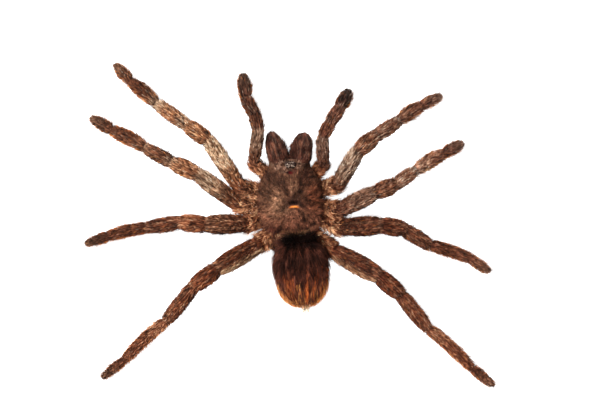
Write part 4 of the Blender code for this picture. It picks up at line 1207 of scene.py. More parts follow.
def carapace_tint(x, share):
    """The shell's colour at x beside its middle line, share of its length from the front."""
    y = (share - FOVEA[1]) * CARAPACE_LENGTH
    beside = x - FOVEA[0]
    angle = np.arctan2(beside, -y)
    radius = np.hypot(beside, y)
    ray = grain(angle * 11, radius / 6, 31)
    fine = grain(angle * 15, radius / 2.6, 32)
    thin = grain(angle * 26, radius / 4, 39)
    patch, speck, mottle = grains(CARAPACE_GRAIN, x, y)
    colour = np.broadcast_to(linear(CARAPACE_COAT), (*np.shape(radius), 3))
    colour = paint(colour, CARAPACE_REAR, rise(share, 0.6, 0.3) * (0.4 + 0.6 * patch))
    for mark_x, mark_share, half_x, half_y, tone, strength in CARAPACE_MARKS:
        far = ((x - mark_x) / half_x) ** 2 + ((share - mark_share) * CARAPACE_LENGTH / half_y) ** 2
        colour = paint(colour, tone, strength * np.exp(-far) * (0.6 + 0.6 * patch))
    colour = paint(colour, CARAPACE_HEM, 0.75 * rise(np.abs(x) / profile(share, 1), 0.91, 0.05))
    groove = np.clip(carapace_relief(x, share) / 0.45, 0, 1)
    colour = paint(colour, CARAPACE_DARK, 0.6 * groove * (radius > 2))
    colour = paint(colour, CARAPACE_DARK, 0.85 * (np.exp(-((radius / 2.6) ** 2)) * (y < 0.8)))
    rays = (0.78 + 0.22 * ray + 0.28 * fine) * (0.62 + 0.38 * rise(thin, 0.22, 0.12))
    spots = (0.7 + 0.5 * patch) * (0.45 + 0.55 * rise(mottle, 0.28, 0.14)) * (0.35 + 1.45 * speck)
    # Partly painted shade: the right half, away from the light, gets darker spots in its mottling and a
    # slightly lighter ground between them
    right = np.clip(-x / 8, 0, 1)
    spots = spots * (1 + 0.12 * right - 0.35 * right * fall(mottle, 0.45, 0.2))
    colour = colour * (1.3 * rays * spots)[..., None]
    pit = np.exp(-(((x - FOVEA[0]) / 2.1) ** 4) - ((y + 0.35) / 0.75) ** 2)
    colour = paint(colour, ABDOMEN_BLACK, 0.95 * pit)
    eyes_far = np.hypot((x - 0.8) / 5.2, (share - EYE_PLACE[1]) * CARAPACE_LENGTH / 2.9)
    face = window(eyes_far, 0.0, 0.9, 0.5) + fall(share, 0.04, 0.03) * (np.abs(x) < 6.5)
    light = rise(grain(x / 0.7, y / 0.42, 37), 0.44, 0.14)
    colour = paint(colour * (1 - 0.45 * face)[..., None], FACE_PALE, 0.75 * face * light)
    bar = blend(linear(FOVEA_ORANGE), linear(FOVEA_DULL), ((x - FOVEA_BAR[0] + 0.3) / FOVEA_BAR_HALF[0]) ** 2)
    bar = bar * (0.7 + 0.5 * grain(x / 0.8, y / 0.2, 38))[..., None]
    colour = blend(colour, bar, bar_spot(x, share))
    colour = paint(colour, ABDOMEN_BLACK, dot_spots(x, share))
    mark = blend(linear(FACE_MARK), linear(ABDOMEN_BLACK), np.clip(0.5 + x - FACE_SPOT[0], 0, 1))
    tail = np.exp(-(((x + 1.9) / 1.3) ** 2) - ((share - 0.163) * CARAPACE_LENGTH / 0.55) ** 2)
    colour = paint(colour, FACE_MARK, 0.5 * tail)
    return blend(colour, mark, face_spot(x, share))


def bar_spot(x, share):
    """1 on the bare fold behind the pit."""
    beside = (x - FOVEA_BAR[0]) / FOVEA_BAR_HALF[0]
    behind = (share - FOVEA_BAR[1]) * CARAPACE_LENGTH / FOVEA_BAR_HALF[1]
    return bare_spot(beside, behind - 0.8 * beside**2)


def dot_spots(x, share):
    """1 on the two bare pits."""
    far = [np.hypot(x - dot_x, (share - dot_share) * CARAPACE_LENGTH) for dot_x, dot_share in CARAPACE_DOTS]
    return np.clip(3.0 * (1.15 - np.minimum(*far) / CARAPACE_DOT_HALF), 0, 1)


def face_spot(x, share):
    """1 on the dark red spot behind the eyes."""
    beside = (x - FACE_SPOT[0]) / FACE_SPOT_HALF[0]
    behind = (share - FACE_SPOT[1]) * CARAPACE_LENGTH / FACE_SPOT_HALF[1]
    return bare_spot(beside + 0.3 * np.sin(5 * behind), behind + 0.4 * beside)


def bare_spot(x, y):
    """1 inside a rounded patch of half size 1, falling to 0 just outside it."""
    return np.clip(3.0 * (1.15 - (x**4 + y**4) ** 0.25), 0, 1)


def eye_places():
    """Centres and radii of the eight eyes."""
    foot = on_carapace(EYE_PLACE[0], EYE_PLACE[1], EYE_FOOT_Z)
    centres = []
    radii = []
    for x, y, radius, height in EYES:
        for sign in (1, -1):
            centres.append(foot + turned(np.array((sign * x, y, height)), CARAPACE_YAW))
            radii.append(radius)
    return np.array(centres), np.array(radii)


def eye_clearance(points):
    """How far points lie from the surface of the nearest eye."""
    centres, radii = eye_places()
    return (np.linalg.norm(points[..., None, :] - centres, axis=-1) - radii).min(axis=-1)


def mound_sheet(rows=22, columns=44):
    """The eye mound's skin, from its foot up."""
    foot = on_carapace(EYE_PLACE[0], EYE_PLACE[1], EYE_FOOT_Z)
    knots = np.arange(len(MOUND_PROFILE))
    share = np.linspace(0, len(MOUND_PROFILE) - 1, rows)
    height, spread = (np.interp(share, knots, [row[i] for row in MOUND_PROFILE]) for i in range(2))
    turn = full_turn(columns, 0)
    x = MOUND_HALF[0] * spread[:, None] * np.cos(turn)[None]
    y = MOUND_HALF[1] * spread[:, None] * np.sin(turn)[None]
    z = np.repeat(MOUND_HEIGHT * height[:, None], columns, axis=1)
    return Sheet(foot + turned(np.stack([x, y, z], axis=-1), CARAPACE_YAW), height, turn)


def mound_tint(points):
    """Brown between the eyes, with a pale rim of down round each of them."""
    speck = grain(points[..., 0] / 0.35, points[..., 1] / 0.35, 35)
    colour = blend(linear(CARAPACE_DARK), linear(FACE_PALE), np.clip(0.9 * speck - 0.5, 0, 1))
    rim = window(eye_clearance(points), 0.1, 0.3, 0.06)
    return blend(colour, linear(EYE_RIM), np.clip(1.6 * speck - 0.35, 0, 1) * rim)


# Face and rear

def chelicera_tip(side):
    """The foremost place of one chelicera's middle line."""
    _, tip_x, reach = CHELICERAE[side]
    return on_carapace(tip_x, 0, CHELICERA_TIP_Z) + turned(FORWARD, CARAPACE_YAW) * reach


def face_lobe(side, inset, columns=30):
    """The skin of one chelicera, from inside the head to its tip."""
    base = on_carapace(CHELICERAE[side][0], 0, CHELICERA_BASE_Z)
    tip = chelicera_tip(side)
    share = np.concatenate([np.linspace(-0.12, 0.9, 30), np.linspace(0.91, 1.0, 8)])
    along = unit(tip - base)
    front, up = square_to(along)
    turn = full_turn(columns)
    inner_flat = 1 - 0.1 * np.maximum(-np.sin(turn) * SIDES[side], 0) ** 2
    wide, tall = (
        np.maximum(np.interp(share, CHELICERA_PLACES, halves) - inset, LEAST_LOBE_HALF)
        for halves in (CHELICERA_HALF_WIDTHS[side], CHELICERA_HALF_HEIGHTS)
    )
    middle = base + (tip - base) * share[:, None]
    across = np.outer(wide, np.sin(turn) * inner_flat)
    return Sheet(tube_points(middle, front, up, across, np.outer(tall, np.cos(turn))), share, turn)


def face_tint(level, turn, along, around):
    """Brown with paler streaks, a redder tip and painted shade on the underside."""
    streak, patch, speck, line = grains(FACE_GRAIN, along, around)
    colour = np.broadcast_to(linear(CHELICERA_COAT), (*np.shape(level + turn), 3))
    colour = paint(colour, CHELICERA_STREAK, rise(streak, 0.6, 0.1) * (0.1 + 0.25 * patch))
    colour = paint(colour, CHELICERA_TIP, 0.6 * rise(level, 0.74, 0.2))
    # painted shade on the chelicera's underside
    colour = paint(colour, UNDERSIDE_SHADE, 0.7 * rise(np.abs(turn), 1.25, 0.5))
    lines = 0.3 + 0.7 * rise(line, 0.26, 0.12)
    return colour * (lines * (0.62 + 0.8 * streak) * (0.85 + 0.4 * patch) * (0.35 + 1.35 * speck))[..., None]


def ring_sheet(middle, along, wide, tall, share, columns):
    """A sheet of rings round a middle line, each square to the way along it."""
    front, up = square_to(along)
    turn = full_turn(columns)
    across = np.outer(wide, np.sin(turn))
    above = np.outer(tall, np.cos(turn))
    return Sheet(tube_points(middle, front[..., None, :], up[..., None, :], across, above), share, turn)


def flat_tint(colour):
    """A function that gives one colour, streaked along the lie."""

    def tint(level, turn, along, around):
        streak = grain(along / 2, around / 0.5, 91)
        rows = np.broadcast_to(linear(colour), (*np.shape(level + turn), 3))
        return rows * (0.75 + 0.5 * streak)[..., None]

    return tint


def spinneret_tint(number):
    """Rust on the round base, which is the first sheet, and cream on the fingers."""
    return flat_tint(SPINNERET_COAT if number else SPINNERET_RUST)


def shoulder_tint(level, turn, along, around):
    """Red-brown hair with tan strands and dark gaps."""
    streak = grain(along / 2.5, around / 0.6, 92)
    colour = blend(linear(CARAPACE_HEM), linear(CARAPACE_REAR), np.clip(1.2 * streak - 0.15, 0, 1))
    return paint(colour, BASE_PALE, 0.7 * rise(grain(along / 3, around / 0.5, 93), 0.66, 0.1))


def dome_sheet(middle, half, rows=28, columns=40):
    """A flattened ball with its poles before and behind."""
    degrees = np.linspace(8, 172, rows)
    spread = np.sin(np.radians(degrees))
    turn = full_turn(columns)
    x = half[0] * spread[:, None] * np.sin(turn)[None]
    y = np.repeat((-half[1] * np.cos(np.radians(degrees)))[:, None], columns, axis=1)
    z = half[2] * spread[:, None] * np.cos(turn)[None]
    return Sheet(np.array(middle) + np.stack([x, y, z], axis=-1), degrees, turn)


def pedicel_sheet():
    """The waist between the sternum and the abdomen."""
    along, _, up = abdomen_axes()
    end = ABDOMEN_FRONT + along * PEDICEL_END[0] - up * PEDICEL_END[1]
    start = np.array((PEDICEL_X, sternum_place(180)[0][1] - PEDICEL_SUNK, PEDICEL_Z))
    share = np.linspace(0, 1, 9)
    bow = np.sin(math.pi * share)
    middle = start + (end - start) * share[:, None] - UP * (PEDICEL_SAG * bow)[:, None]
    wide, tall = (half * (1 - 0.15 * bow) for half in PEDICEL_HALF)
    return ring_sheet(middle, along, wide, tall, share, 20)


def spinneret_sheets():
    """The round base and the jointed fingers, each as a sheet."""
    along, across, up = abdomen_axes()
    foot = 0.5 * (abdomen_rim(-0.5 * math.pi) + abdomen_rim(0.5 * math.pi))
    radius, length = SPINNERET_BASE
    share = np.linspace(-0.6, 1.0, len(SPINNERET_BASE_WIDTHS))
    wide = radius * np.array(SPINNERET_BASE_WIDTHS)
    sheets = [ring_sheet(foot + along * length * share[:, None], along, wide, wide, share, 24)]
    share = np.linspace(0, 1, 22)
    thick = np.interp(share, *zip(*SPINNERET_JOINTS))
    for x, z, length, radius, spread in SPINNERETS:
        for sign in (1, -1):
            out = unit(along + across * sign * math.tan(math.radians(spread)))
            start = foot + across * sign * x + up * z + along * 0.3
            middle = start + out * length * share[:, None]
            sheets.append(ring_sheet(middle, out, radius * thick, radius * thick, share, 14))
    return sheets


def abdomen_rim(turn):
    """A point of the flat rear end that the solids keep."""
    return abdomen_points(np.array(169.0), np.array(turn), 0.0)


# Materials

COAT_SPECULAR = 0.06


def add_node(tree, kind, values=None, **settings):
    """A shader node with its settings and its inputs."""
    node = tree.nodes.new("ShaderNode" + kind)
    for name, value in settings.items():
        setattr(node, name, value)
    fill(tree, node, values or {})
    return node


def fill(tree, node, values):
    """Gives a node's inputs constants, or links the sockets named for them."""
    for name, value in values.items():
        if isinstance(value, bpy.types.NodeSocket):
            tree.links.new(value, node.inputs[name])
        else:
            node.inputs[name].default_value = value


def node_group(name, inputs, outputs):
    """An empty shader group with named sockets, and what goes in and comes out of it."""
    group = bpy.data.node_groups.new(name, "ShaderNodeTree")
    for label, kind, default in inputs:
        socket = group.interface.new_socket(name=label, in_out="INPUT", socket_type="NodeSocket" + kind)
        if default is not None:
            socket.default_value = default
    for label in outputs:
        group.interface.new_socket(name=label, in_out="OUTPUT", socket_type="NodeSocketFloat")
    return group, group.nodes.new("NodeGroupInput").outputs, group.nodes.new("NodeGroupOutput")


def streaks_group():
    """Fine hair lines along the lie: a mask for colour and a height for bump."""
    if "Hair lines" in bpy.data.node_groups:
        return bpy.data.node_groups["Hair lines"]
    inputs = (("Lie", "Vector", None), ("Along", "Float", 0.35), ("Across", "Float", 5.0))
    group, start, end = node_group("Hair lines", inputs, ("Mask", "Height"))
    scale = add_node(group, "CombineXYZ", {"X": start["Along"], "Y": start["Across"], "Z": 1.0})
    times = add_node(group, "VectorMath", {0: start["Lie"], 1: scale.outputs["Vector"]}, operation="MULTIPLY")
    noise = add_node(
        group, "TexNoise", {"Scale": 1.0, "Detail": 4.0, "Roughness": 0.6, "Vector": times.outputs["Vector"]}
    )
    height = noise.outputs["Fac"]
    spread = add_node(group, "MapRange", {"From Min": 0.32, "From Max": 0.68, "Value": height})
    fill(group, end, {"Mask": spread.outputs["Result"], "Height": height})
    return group


def mottle_group():
    """Soft clouds of lighter and darker coat, in object space, as a factor for colours."""
    if "Mottling" in bpy.data.node_groups:
        return bpy.data.node_groups["Mottling"]
    inputs = (("Scale", "Float", 500.0), ("Low", "Float", 0.8), ("High", "Float", 1.2))
    group, start, end = node_group("Mottling", inputs, ("Factor",))
    place = add_node(group, "TexCoord").outputs["Object"]
    noise = add_node(group, "TexNoise", {"Detail": 3.0, "Vector": place, "Scale": start["Scale"]})
    spread = add_node(group, "MapRange", {
        "From Min": 0.3, "From Max": 0.7, "Value": noise.outputs["Fac"],
        "To Min": start["Low"], "To Max": start["High"],
    })
    fill(group, end, {"Factor": spread.outputs["Result"]})
    return group


def new_material(name):
    """A material, its node tree and its shader."""
    made = bpy.data.materials.new(name)
    made.use_nodes = True
    return made, made.node_tree, made.node_tree.nodes["Principled BSDF"]


def times_colour(tree, colour, factor):
    """A colour multiplied by a number that changes over the surface."""
    return add_node(tree, "VectorMath", {0: colour, "Scale": factor}, operation="SCALE").outputs["Vector"]


def attribute(tree, name, kind):
    """What the points of a mesh carry under a name."""
    return add_node(tree, "Attribute", attribute_name=name).outputs[kind]


def clouded(tree, colour):
    """A colour with soft clouds of lighter and darker coat."""
    return times_colour(tree, colour, add_node(tree, "Group", node_tree=mottle_group()).outputs["Factor"])


def relief(tree, height, strength, distance):
    """Bump from a height, with the distance in millimetres."""
    values = {"Strength": strength, "Distance": distance * MM, "Height": height}
    return add_node(tree, "Bump", values).outputs["Normal"]


def two_tones(tree, scale, first, second):
    """Clouds of two colours in object space, and the noise that they follow."""
    place = add_node(tree, "TexCoord").outputs["Object"]
    noise = add_node(tree, "TexNoise", {"Scale": scale, "Vector": place}).outputs["Fac"]
    mix = add_node(tree, "Mix", {"A": (*first, 1), "B": (*second, 1), "Factor": noise}, data_type="RGBA")
    return mix.outputs["Result"], noise


def furred_material(name, roughness, low, bump, along=0.35, across=5.0):
    """Skin or shell seen between hairs: the tint darkened in lines along the lie, with a matching bump."""
    made, tree, shader = new_material(name)
    lie = attribute(tree, "lie", "Vector")
    lines = add_node(tree, "Group", node_tree=streaks_group())
    fill(tree, lines, {"Along": along, "Across": across, "Lie": lie})
    spread = add_node(tree, "MapRange", {"To Min": low, "To Max": 1.25, "Value": lines.outputs["Mask"]})
    streaked = times_colour(tree, attribute(tree, "tint", "Color"), spread.outputs["Result"])
    fill(tree, shader, {
        "Base Color": clouded(tree, streaked), "Normal": relief(tree, lines.outputs["Height"], bump, 0.2),
        "Roughness": roughness, "Specular IOR Level": COAT_SPECULAR,
    })
    return made


def coat_material(name):
    """Hairs: the tint of each tuft, clouded like the skin under it."""
    if name in bpy.data.materials:
        return bpy.data.materials[name]
    made, tree, shader = new_material(name)
    fill(tree, shader, {
        "Base Color": clouded(tree, attribute(tree, "tint", "Color")),
        "Roughness": colours().coat_roughness, "Specular IOR Level": COAT_SPECULAR,
    })
    return made


def gloss_material(name, roughness, warm=0.0, gloss=0.6):
    """Eyes, fangs and claws: near black, faintly clouded, with a clear gloss."""
    made, tree, shader = new_material(name)
    red, green, blue = colours().gloss_black
    lighter = (red + 0.03 + warm, green + 0.014 + 0.3 * warm, blue + 0.01)
    colour, noise = two_tones(tree, 900.0, (red, green, blue), lighter)
    fill(tree, shader, {
        "Base Color": colour, "Normal": relief(tree, noise, 0.08, 0.05), "Roughness": roughness,
        "Specular IOR Level": 0.5 * gloss, "Coat Weight": gloss, "Coat Roughness": 0.05,
    })
    return made


# Sheets that more than one operator uses

# How dark the skin is under the hair of these parts, as a share of the hair: painted shade, except the
# spinnerets' share above 1, which is painted light
SHELL_SHADE = 0.72
MOUND_SHADE = 0.7
FACE_SHADE = 0.6
SPINNERET_SHADE = 1.1


def new_draw(number):
    """The random draw of one part of the coat."""
    return np.random.default_rng(sizes().seed + number)


def limb_keys():
    return [(side, limb) for side in SIDES for limb in LIMBS]


def limb_name(side, limb):
    return f"palp_{side}" if limb == "palp" else f"leg_{limb}_{side}"


def limb_depth():
    return sizes().limb_coat / MM


def shell_depth():
    return sizes().shell_coat / MM


def sternum_dome():
    """The skin of the sternum."""
    middle = (*STERNUM, 0.5 * (STERNUM_BOTTOM + STERNUM_TOP))
    half_height = 0.5 * (STERNUM_TOP - STERNUM_BOTTOM) - STERNUM_INSET
    return dome_sheet(middle, (STERNUM_HALF_WIDTH, STERNUM_HALF_LENGTH, half_height))


def mouth_dome():
    """The skin between the palps' coxae, before the sternum."""
    half_length = 0.5 * (STERNUM[1] - STERNUM_HALF_LENGTH - MOUTH_FRONT_Y) + 1.0
    middle = (STERNUM[0], MOUTH_FRONT_Y + half_length, MOUTH_Z)
    return dome_sheet(middle, (MOUTH_HALF_WIDTH, half_length, MOUTH_HALF_HEIGHT), 16, 20)


def skin_parts():
    """Every sheet of the one skin, with the function that colours it."""
    return [
        *((limb_sheet(side, limb, limb_depth()), limb_tint(side, limb)) for side, limb in limb_keys()),
        (abdomen_sheet(sizes().abdomen_coat / MM), abdomen_tint),
        (pedicel_sheet(), flat_tint(CHELICERA_COAT)),
        (dome_sheet(PLEURA_MIDDLE, PLEURA_HALF), flat_tint(JOINT_DARK)),
        (dome_sheet(SHOULDER_MIDDLE, SHOULDER_HALF), flat_tint(CARAPACE_REAR)),
        (sternum_dome(), flat_tint(STERNUM_COAT)),
        (mouth_dome(), flat_tint(CARAPACE_REAR)),
    ]


def sheet_grids(sheet):
    """Level, turn, distance along and distance round for every point of a sheet."""
    rows, columns = sheet.points.shape[:2]
    level = np.repeat(sheet.level[:, None], columns, axis=1)
    turn = np.repeat(sheet.turn[None], rows, axis=0)
    along = np.repeat(sheet.reach[:, None], columns, axis=1)
    around = np.repeat((np.arange(columns) / columns * sheet.girth.mean())[None], rows, axis=0)
    return level, turn, along, around


def join_sheets(name, parts, finish, shade=1.0):
    """One object from several sheets, each with its own colours."""
    points = []
    faces = []
    tints = []
    lies = []
    total = 0
    for number, (sheet, tint) in enumerate(parts):
        rows, columns = sheet.points.shape[:2]
        tube = tube_faces(rows, columns, total)
        points.append(sheet.points.reshape(-1, 3))
        inward = (sheet.normals.reshape(-1, 3)[columns + 1] @ face_normal(sheet)) < 0
        faces += [face[::-1] for face in tube] if inward else tube
        tints.append(tint(*sheet_grids(sheet)).reshape(-1, 3) * shade)
        lies.append(sheet_lie(sheet, number))
        total += rows * columns
    points, lies, tints = (np.concatenate(rows) for rows in (points, lies, tints))
    made = new_object(name, points, faces, finish, lies, tints)
    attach(made, "root")
    return made


def face_normal(sheet):
    """The direction that the sheet's face round its second point would have in a tube."""
    grid = sheet.points
    return np.cross(grid[1, 2] - grid[1, 1], grid[2, 1] - grid[1, 1])


class TARANTULA_OT_skin(Operator):
    """Build the one skin of legs, palps, underside, waist and abdomen."""

    bl_idname = "tarantula.skin"
    bl_label = "Skin"

    def execute(self, context):
        finish = furred_material("skin", roughness=0.62, low=0.55, bump=0.8)
        made = join_sheets("skin", skin_parts(), finish, colours().depth_shade)
        for side, limb in limb_keys():
            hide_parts(*(f"{limb_name(side, limb)}_{segment}" for segment in SEGMENTS))
        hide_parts("abdomen", "pedicel", "sternum")
        return {"FINISHED"}


class TARANTULA_OT_shell(Operator):
    """Build the carapace with its pit, furrows and raised head."""

    bl_idname = "tarantula.shell"
    bl_label = "Carapace"

    def execute(self, context):
        top, share, column, x = carapace_grid(shell_depth())
        rows, columns = top.shape[:2]
        under = top[:, ::-1].copy()
        under[..., 2] = CARAPACE_UNDERSIDE + 0.1 + 0.12 * np.abs(column[::-1])[None]
        ring = np.concatenate([top, under], axis=1)
        beside = x - FOVEA[0]
        ahead = (share[:, None] - FOVEA[1]) * CARAPACE_LENGTH
        radius = np.hypot(beside, ahead)
        lie = np.stack([radius, np.arctan2(beside, -ahead) * 9, np.full_like(radius, 3.0)], axis=-1)
        tint = SHELL_SHADE * carapace_tint(x, share[:, None])
        lie, tint = (np.concatenate([grid, grid[:, ::-1]], axis=1).reshape(-1, 3) for grid in (lie, tint))
        finish = furred_material("shell", roughness=0.55, low=0.7, bump=0.5, along=0.3, across=2.4)
        faces = tube_faces(rows, 2 * columns)
        made = new_object("carapace_shell", ring.reshape(-1, 3), faces, finish, lie, tint)
        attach(made, "root")
        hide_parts("carapace")
        return {"FINISHED"}


class TARANTULA_OT_eyes(Operator):
    """Build the eye mound and its eight eyes."""

    bl_idname = "tarantula.eyes"
    bl_label = "Eyes"

    def execute(self, context):
        mound = self.mound()
        points = []
        faces = []
        for centre, radius in zip(*eye_places()):
            ball, ball_faces = round_ball(centre, radius, 20, 14)
            faces += [tuple(index + len(points) * len(ball) for index in face) for face in ball_faces]
            points.append(ball)
        gloss = gloss_material("eye_gloss", roughness=0.16, warm=0.004, gloss=0.14)
        eyes = new_object("eye_domes", np.concatenate(points), faces, gloss)
        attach(eyes, "root")
        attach(mound, "root")
        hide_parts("eyes")
        return {"FINISHED"}

    def mound(self):
        sheet = mound_sheet()
        points = sheet.points.reshape(-1, 3)
        faces = tube_faces(*sheet.points.shape[:2])
        finish = furred_material("mound", roughness=0.5, low=0.6, bump=0.4, across=8.0)
        tint = MOUND_SHADE * mound_tint(points)
        return new_object("eye_mound", points, faces, finish, sheet_lie(sheet, 5), tint)


def round_ball(centre, radius, columns, rows):
    """Points and faces of a ball with its poles above and below."""
    turn = full_turn(columns, 0)
    points = []
    for i in range(rows):
        down = math.pi * (i + 0.5) / rows
        wide = math.sin(down)
        ring = [wide * np.cos(turn), wide * np.sin(turn), np.full(columns, math.cos(down))]
        points.append(centre + radius * np.stack(ring, axis=-1))
    return np.concatenate(points), tube_faces(rows, columns)


class TARANTULA_OT_face(Operator):
    """Build the two chelicerae and the fangs folded under them."""

    bl_idname = "tarantula.face"
    bl_label = "Chelicerae and fangs"

    def execute(self, context):
        lobes = [(face_lobe(side, shell_depth()), face_tint) for side in SIDES]
        finish = furred_material("face_skin", roughness=0.55, low=0.55, bump=0.8)
        lobes = join_sheets("chelicerae", lobes, finish, FACE_SHADE)
        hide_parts("chelicera_left", "chelicera_right")
        fangs = [(fang_sheet(side), flat_tint(DARK_HAIR)) for side in SIDES]
        fangs = join_sheets("fangs", fangs, gloss_material("fang_gloss", roughness=0.3, warm=0.02, gloss=0.3))
        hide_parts("fang_left", "fang_right")
        return {"FINISHED"}


def fang_sheet(side):
    """One fang, curved in under its chelicera."""
    tip = chelicera_tip(side)
    inwards = -SIDES[side]
    start = np.array((tip[0] + inwards * FANG_INSET, tip[1], 0.0)) + FANG_BASE
    knots = np.linspace(0, 1, len(FANG_BENDS))
    share = np.linspace(0, 1, 26)
    x, y, z, radius = (smooth_interp(share, knots, bends) for bends in zip(*FANG_BENDS))
    middle = start + np.stack([inwards * x, y, z], axis=-1)
    along = unit(np.gradient(middle, axis=0))
    across = unit(np.cross(along, np.array((1.0, 0.0, 0.0))))
    left = unit(np.cross(across, along))
    turn = full_turn(18, 0)
    beside = np.outer(radius, np.cos(turn))
    above = np.outer(radius, np.sin(turn))
    return Sheet(tube_points(middle, left[:, None], across[:, None], beside, above), share, turn)


class TARANTULA_OT_claws(Operator):
    """Build the pair of small claws at each foot."""

    bl_idname = "tarantula.claws"
    bl_label = "Claws"

    def execute(self, context):
        share = np.linspace(0, 1, 10)
        thick = CLAW_RADIUS * (1.02 - share)
        sheets = []
        for side, limb in limb_keys():
            joints = limb_joints(side, limb)
            along = unit(joints[-1] - joints[-2])
            across = unit(np.cross(along, UP))
            up = np.cross(across, along)
            for sign in (1, -1) if limb != "palp" else (0,):
                start = joints[-1] - along * CLAW_BACK + across * sign * CLAW_SPREAD + up * CLAW_LIFT
                curve = along * (CLAW_LENGTH * np.sin(1.3 * share))[:, None]
                drop = up * (0.8 * CLAW_LENGTH * (np.cos(1.5 * share) - 1))[:, None]
                middle = start + curve + drop
                middle[:, 2] = np.maximum(middle[:, 2], CLAW_RADIUS + FLOOR_CLEAR)
                way = unit(np.gradient(middle, axis=0))
                sheets.append((ring_sheet(middle, way, thick, thick, share, 10), flat_tint(DARK_HAIR)))
        made = join_sheets("claws", sheets, gloss_material("claw_gloss", roughness=0.2, warm=0.05))
        return {"FINISHED"}


class TARANTULA_OT_spinnerets(Operator):
    """Build the spinnerets behind the abdomen."""

    bl_idname = "tarantula.spinnerets"
    bl_label = "Spinnerets"

    def execute(self, context):
        finish = furred_material("spinneret_skin", roughness=0.6, low=0.7, bump=0.4, across=7.0)
        sheets = [(sheet, spinneret_tint(number)) for number, sheet in enumerate(spinneret_sheets())]
        made = join_sheets("spinneret_skin", sheets, finish, SPINNERET_SHADE)
        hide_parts("spinnerets")
        return {"FINISHED"}


FUR_LENGTHS = (  # position along the limb, length
    (-2.0, 1.1), (-0.8, 1.7), (-0.2, 1.6), (0.3, 1.7), (2.9, 1.8), (3.3, 1.8), (4.0, 1.4), (5.0, 0.9),
)
FUR_PER_MM = 68  # tufts to a millimetre of limb
SETAE_SHARE = 0.12
FRINGE_SHARE = 0.1
GUARD_SHARE = 0.05
FLUFF_COUNT = 800
CURLS = {  # pale curled strands among the fluff of these coxae
    ("left", 4): 240, ("left", 3): 160, ("left", 2): 120, ("left", 1): 80,
    ("right", 3): 120, ("right", 2): 140, ("right", 1): 80,
}


def fur_length(scale):
    """A function that gives the length of a limb's hairs, which are shorter near the joints."""

    def length(level, turn):
        near_joint = np.exp(-(((level - np.round(level)) / 0.05) ** 2)) * (level > 0.5)
        return scale * np.interp(level, *zip(*FUR_LENGTHS)) * (1 - 0.5 * near_joint)

    return length


def toned(tint, colour, share):
    """The same markings drawn towards one colour."""

    def changed(level, turn, along, around):
        return blend(tint(level, turn, along, around), linear(colour), np.full(np.shape(level), share))

    return changed


LEG_FUR = Layer(fur_length(1.0), 1.0, (-0.12, 0.62, 0.92), contrast=0.6)
PALP_FUR = LEG_FUR._replace(contrast=0.45)
DARK_SETAE = Layer(fur_length(1.1), 1.5, (-0.1, 1.1, 1.7), sway=0.15)
PALE_SETAE = Layer(fur_length(0.9), 1.1, (-0.1, 1.1, 1.6), sway=0.15)
FRINGES = Layer(fur_length(1.15), 0.8, (-0.1, 1.5, 2.2), sway=0.2)
GUARDS = Layer(fur_length(1.4), 0.6, (-0.1, 2.2, 4.0), sway=0.3)
FLUFF = Layer(2.4, 1.3, (-0.1, 0.8, 1.4), sway=0.22, varied=0.4, pitch=1.2, gather=0.9, contrast=0.8)
CURL = Layer(2.8, 1.3, (-0.1, 1.3, 1.7), 0.5, 0.4, pitch=1.5, gather=0.9, contrast=0.5, brightest=1.2)


class TARANTULA_OT_limb_coat(Operator):
    """Grow the short fur, the longer setae and the fringes of legs and palps."""

    bl_idname = "tarantula.limb_coat"
    bl_label = "Coat of the limbs"

    def execute(self, context):
        for number, (side, limb) in enumerate(limb_keys()):
            draw = new_draw(number)
            name = f"coat_{limb_name(side, limb)}"
            made = add_tufts(name, self.batches(side, limb, draw), coat_material("coat"))
        return {"FINISHED"}

    def batches(self, side, limb, draw):
        """Fur, dark and pale setae, fringes, guard hairs, and the fluff and curls of the coxa."""
        depth = limb_depth()
        width = sizes().tuft_width / MM
        sheet = limb_sheet(side, limb, depth)
        tint = limb_tint(side, limb)
        count = int(FUR_PER_MM * sheet.reach[-1])
        # pale setae are paler on limbs with more paleness, painted sheen included
        pale = 0.06 + 0.22 * max(PALENESS[side, limb])
        coats = (
            (PALP_FUR if limb == "palp" else LEG_FUR, count, tint, self.outside),
            (DARK_SETAE, int(SETAE_SHARE * count), toned(tint, DARK_HAIR, 0.6), self.outside),
            (PALE_SETAE, int(0.5 * SETAE_SHARE * count), toned(tint, PALE_HAIR, pale), self.outside),
            (FRINGES, int(FRINGE_SHARE * count), toned(tint, FRINGE, 0.45), self.flanks(limb)),
            (GUARDS, int(GUARD_SHARE * count), toned(tint, DARK_HAIR, 0.5), self.guards(limb)),
        )
        made = [
            coat_layer(sheet, layer, tufts, draw, colour, depth, wanted, width)
            for layer, tufts, colour, wanted in coats
        ]
        made.append(coat_layer(sheet, FLUFF, FLUFF_COUNT, draw, tint, wanted=self.base, thick=width))
        if (side, limb) in CURLS:
            tint = toned(tint, BASE_PALE, 0.65)
            made.append(coat_layer(sheet, CURL, CURLS[side, limb], draw, tint, wanted=self.base, thick=width))
        return made

    def outside(self, level, turn):
        return rise(level, -1.75, 0.5) * np.ones_like(turn)

    def base(self, level, turn):
        return window(level, -1.8, -0.15, 0.1) * (0.3 + window(np.abs(turn), 0.9, 2.2, 0.4))

    def guards(self, limb):
        start = 1.0 if limb == "palp" else 2.0

        def wanted(level, turn):
            side = window(np.abs(turn), 0.9, 2.2, 0.4)
            return (level > 0) * (0.15 + side) * (0.4 + (level > start))

        return wanted

    def flanks(self, limb):
        start = 2.0 if limb == "palp" else 3.0

        def wanted(level, turn):
            side = window(np.abs(turn), 1.2, 2.5, 0.3)
            return 0.02 + side * window(level, start, start + 2, 0.3) + 0.2 * side * (level > 0.2)

        return wanted


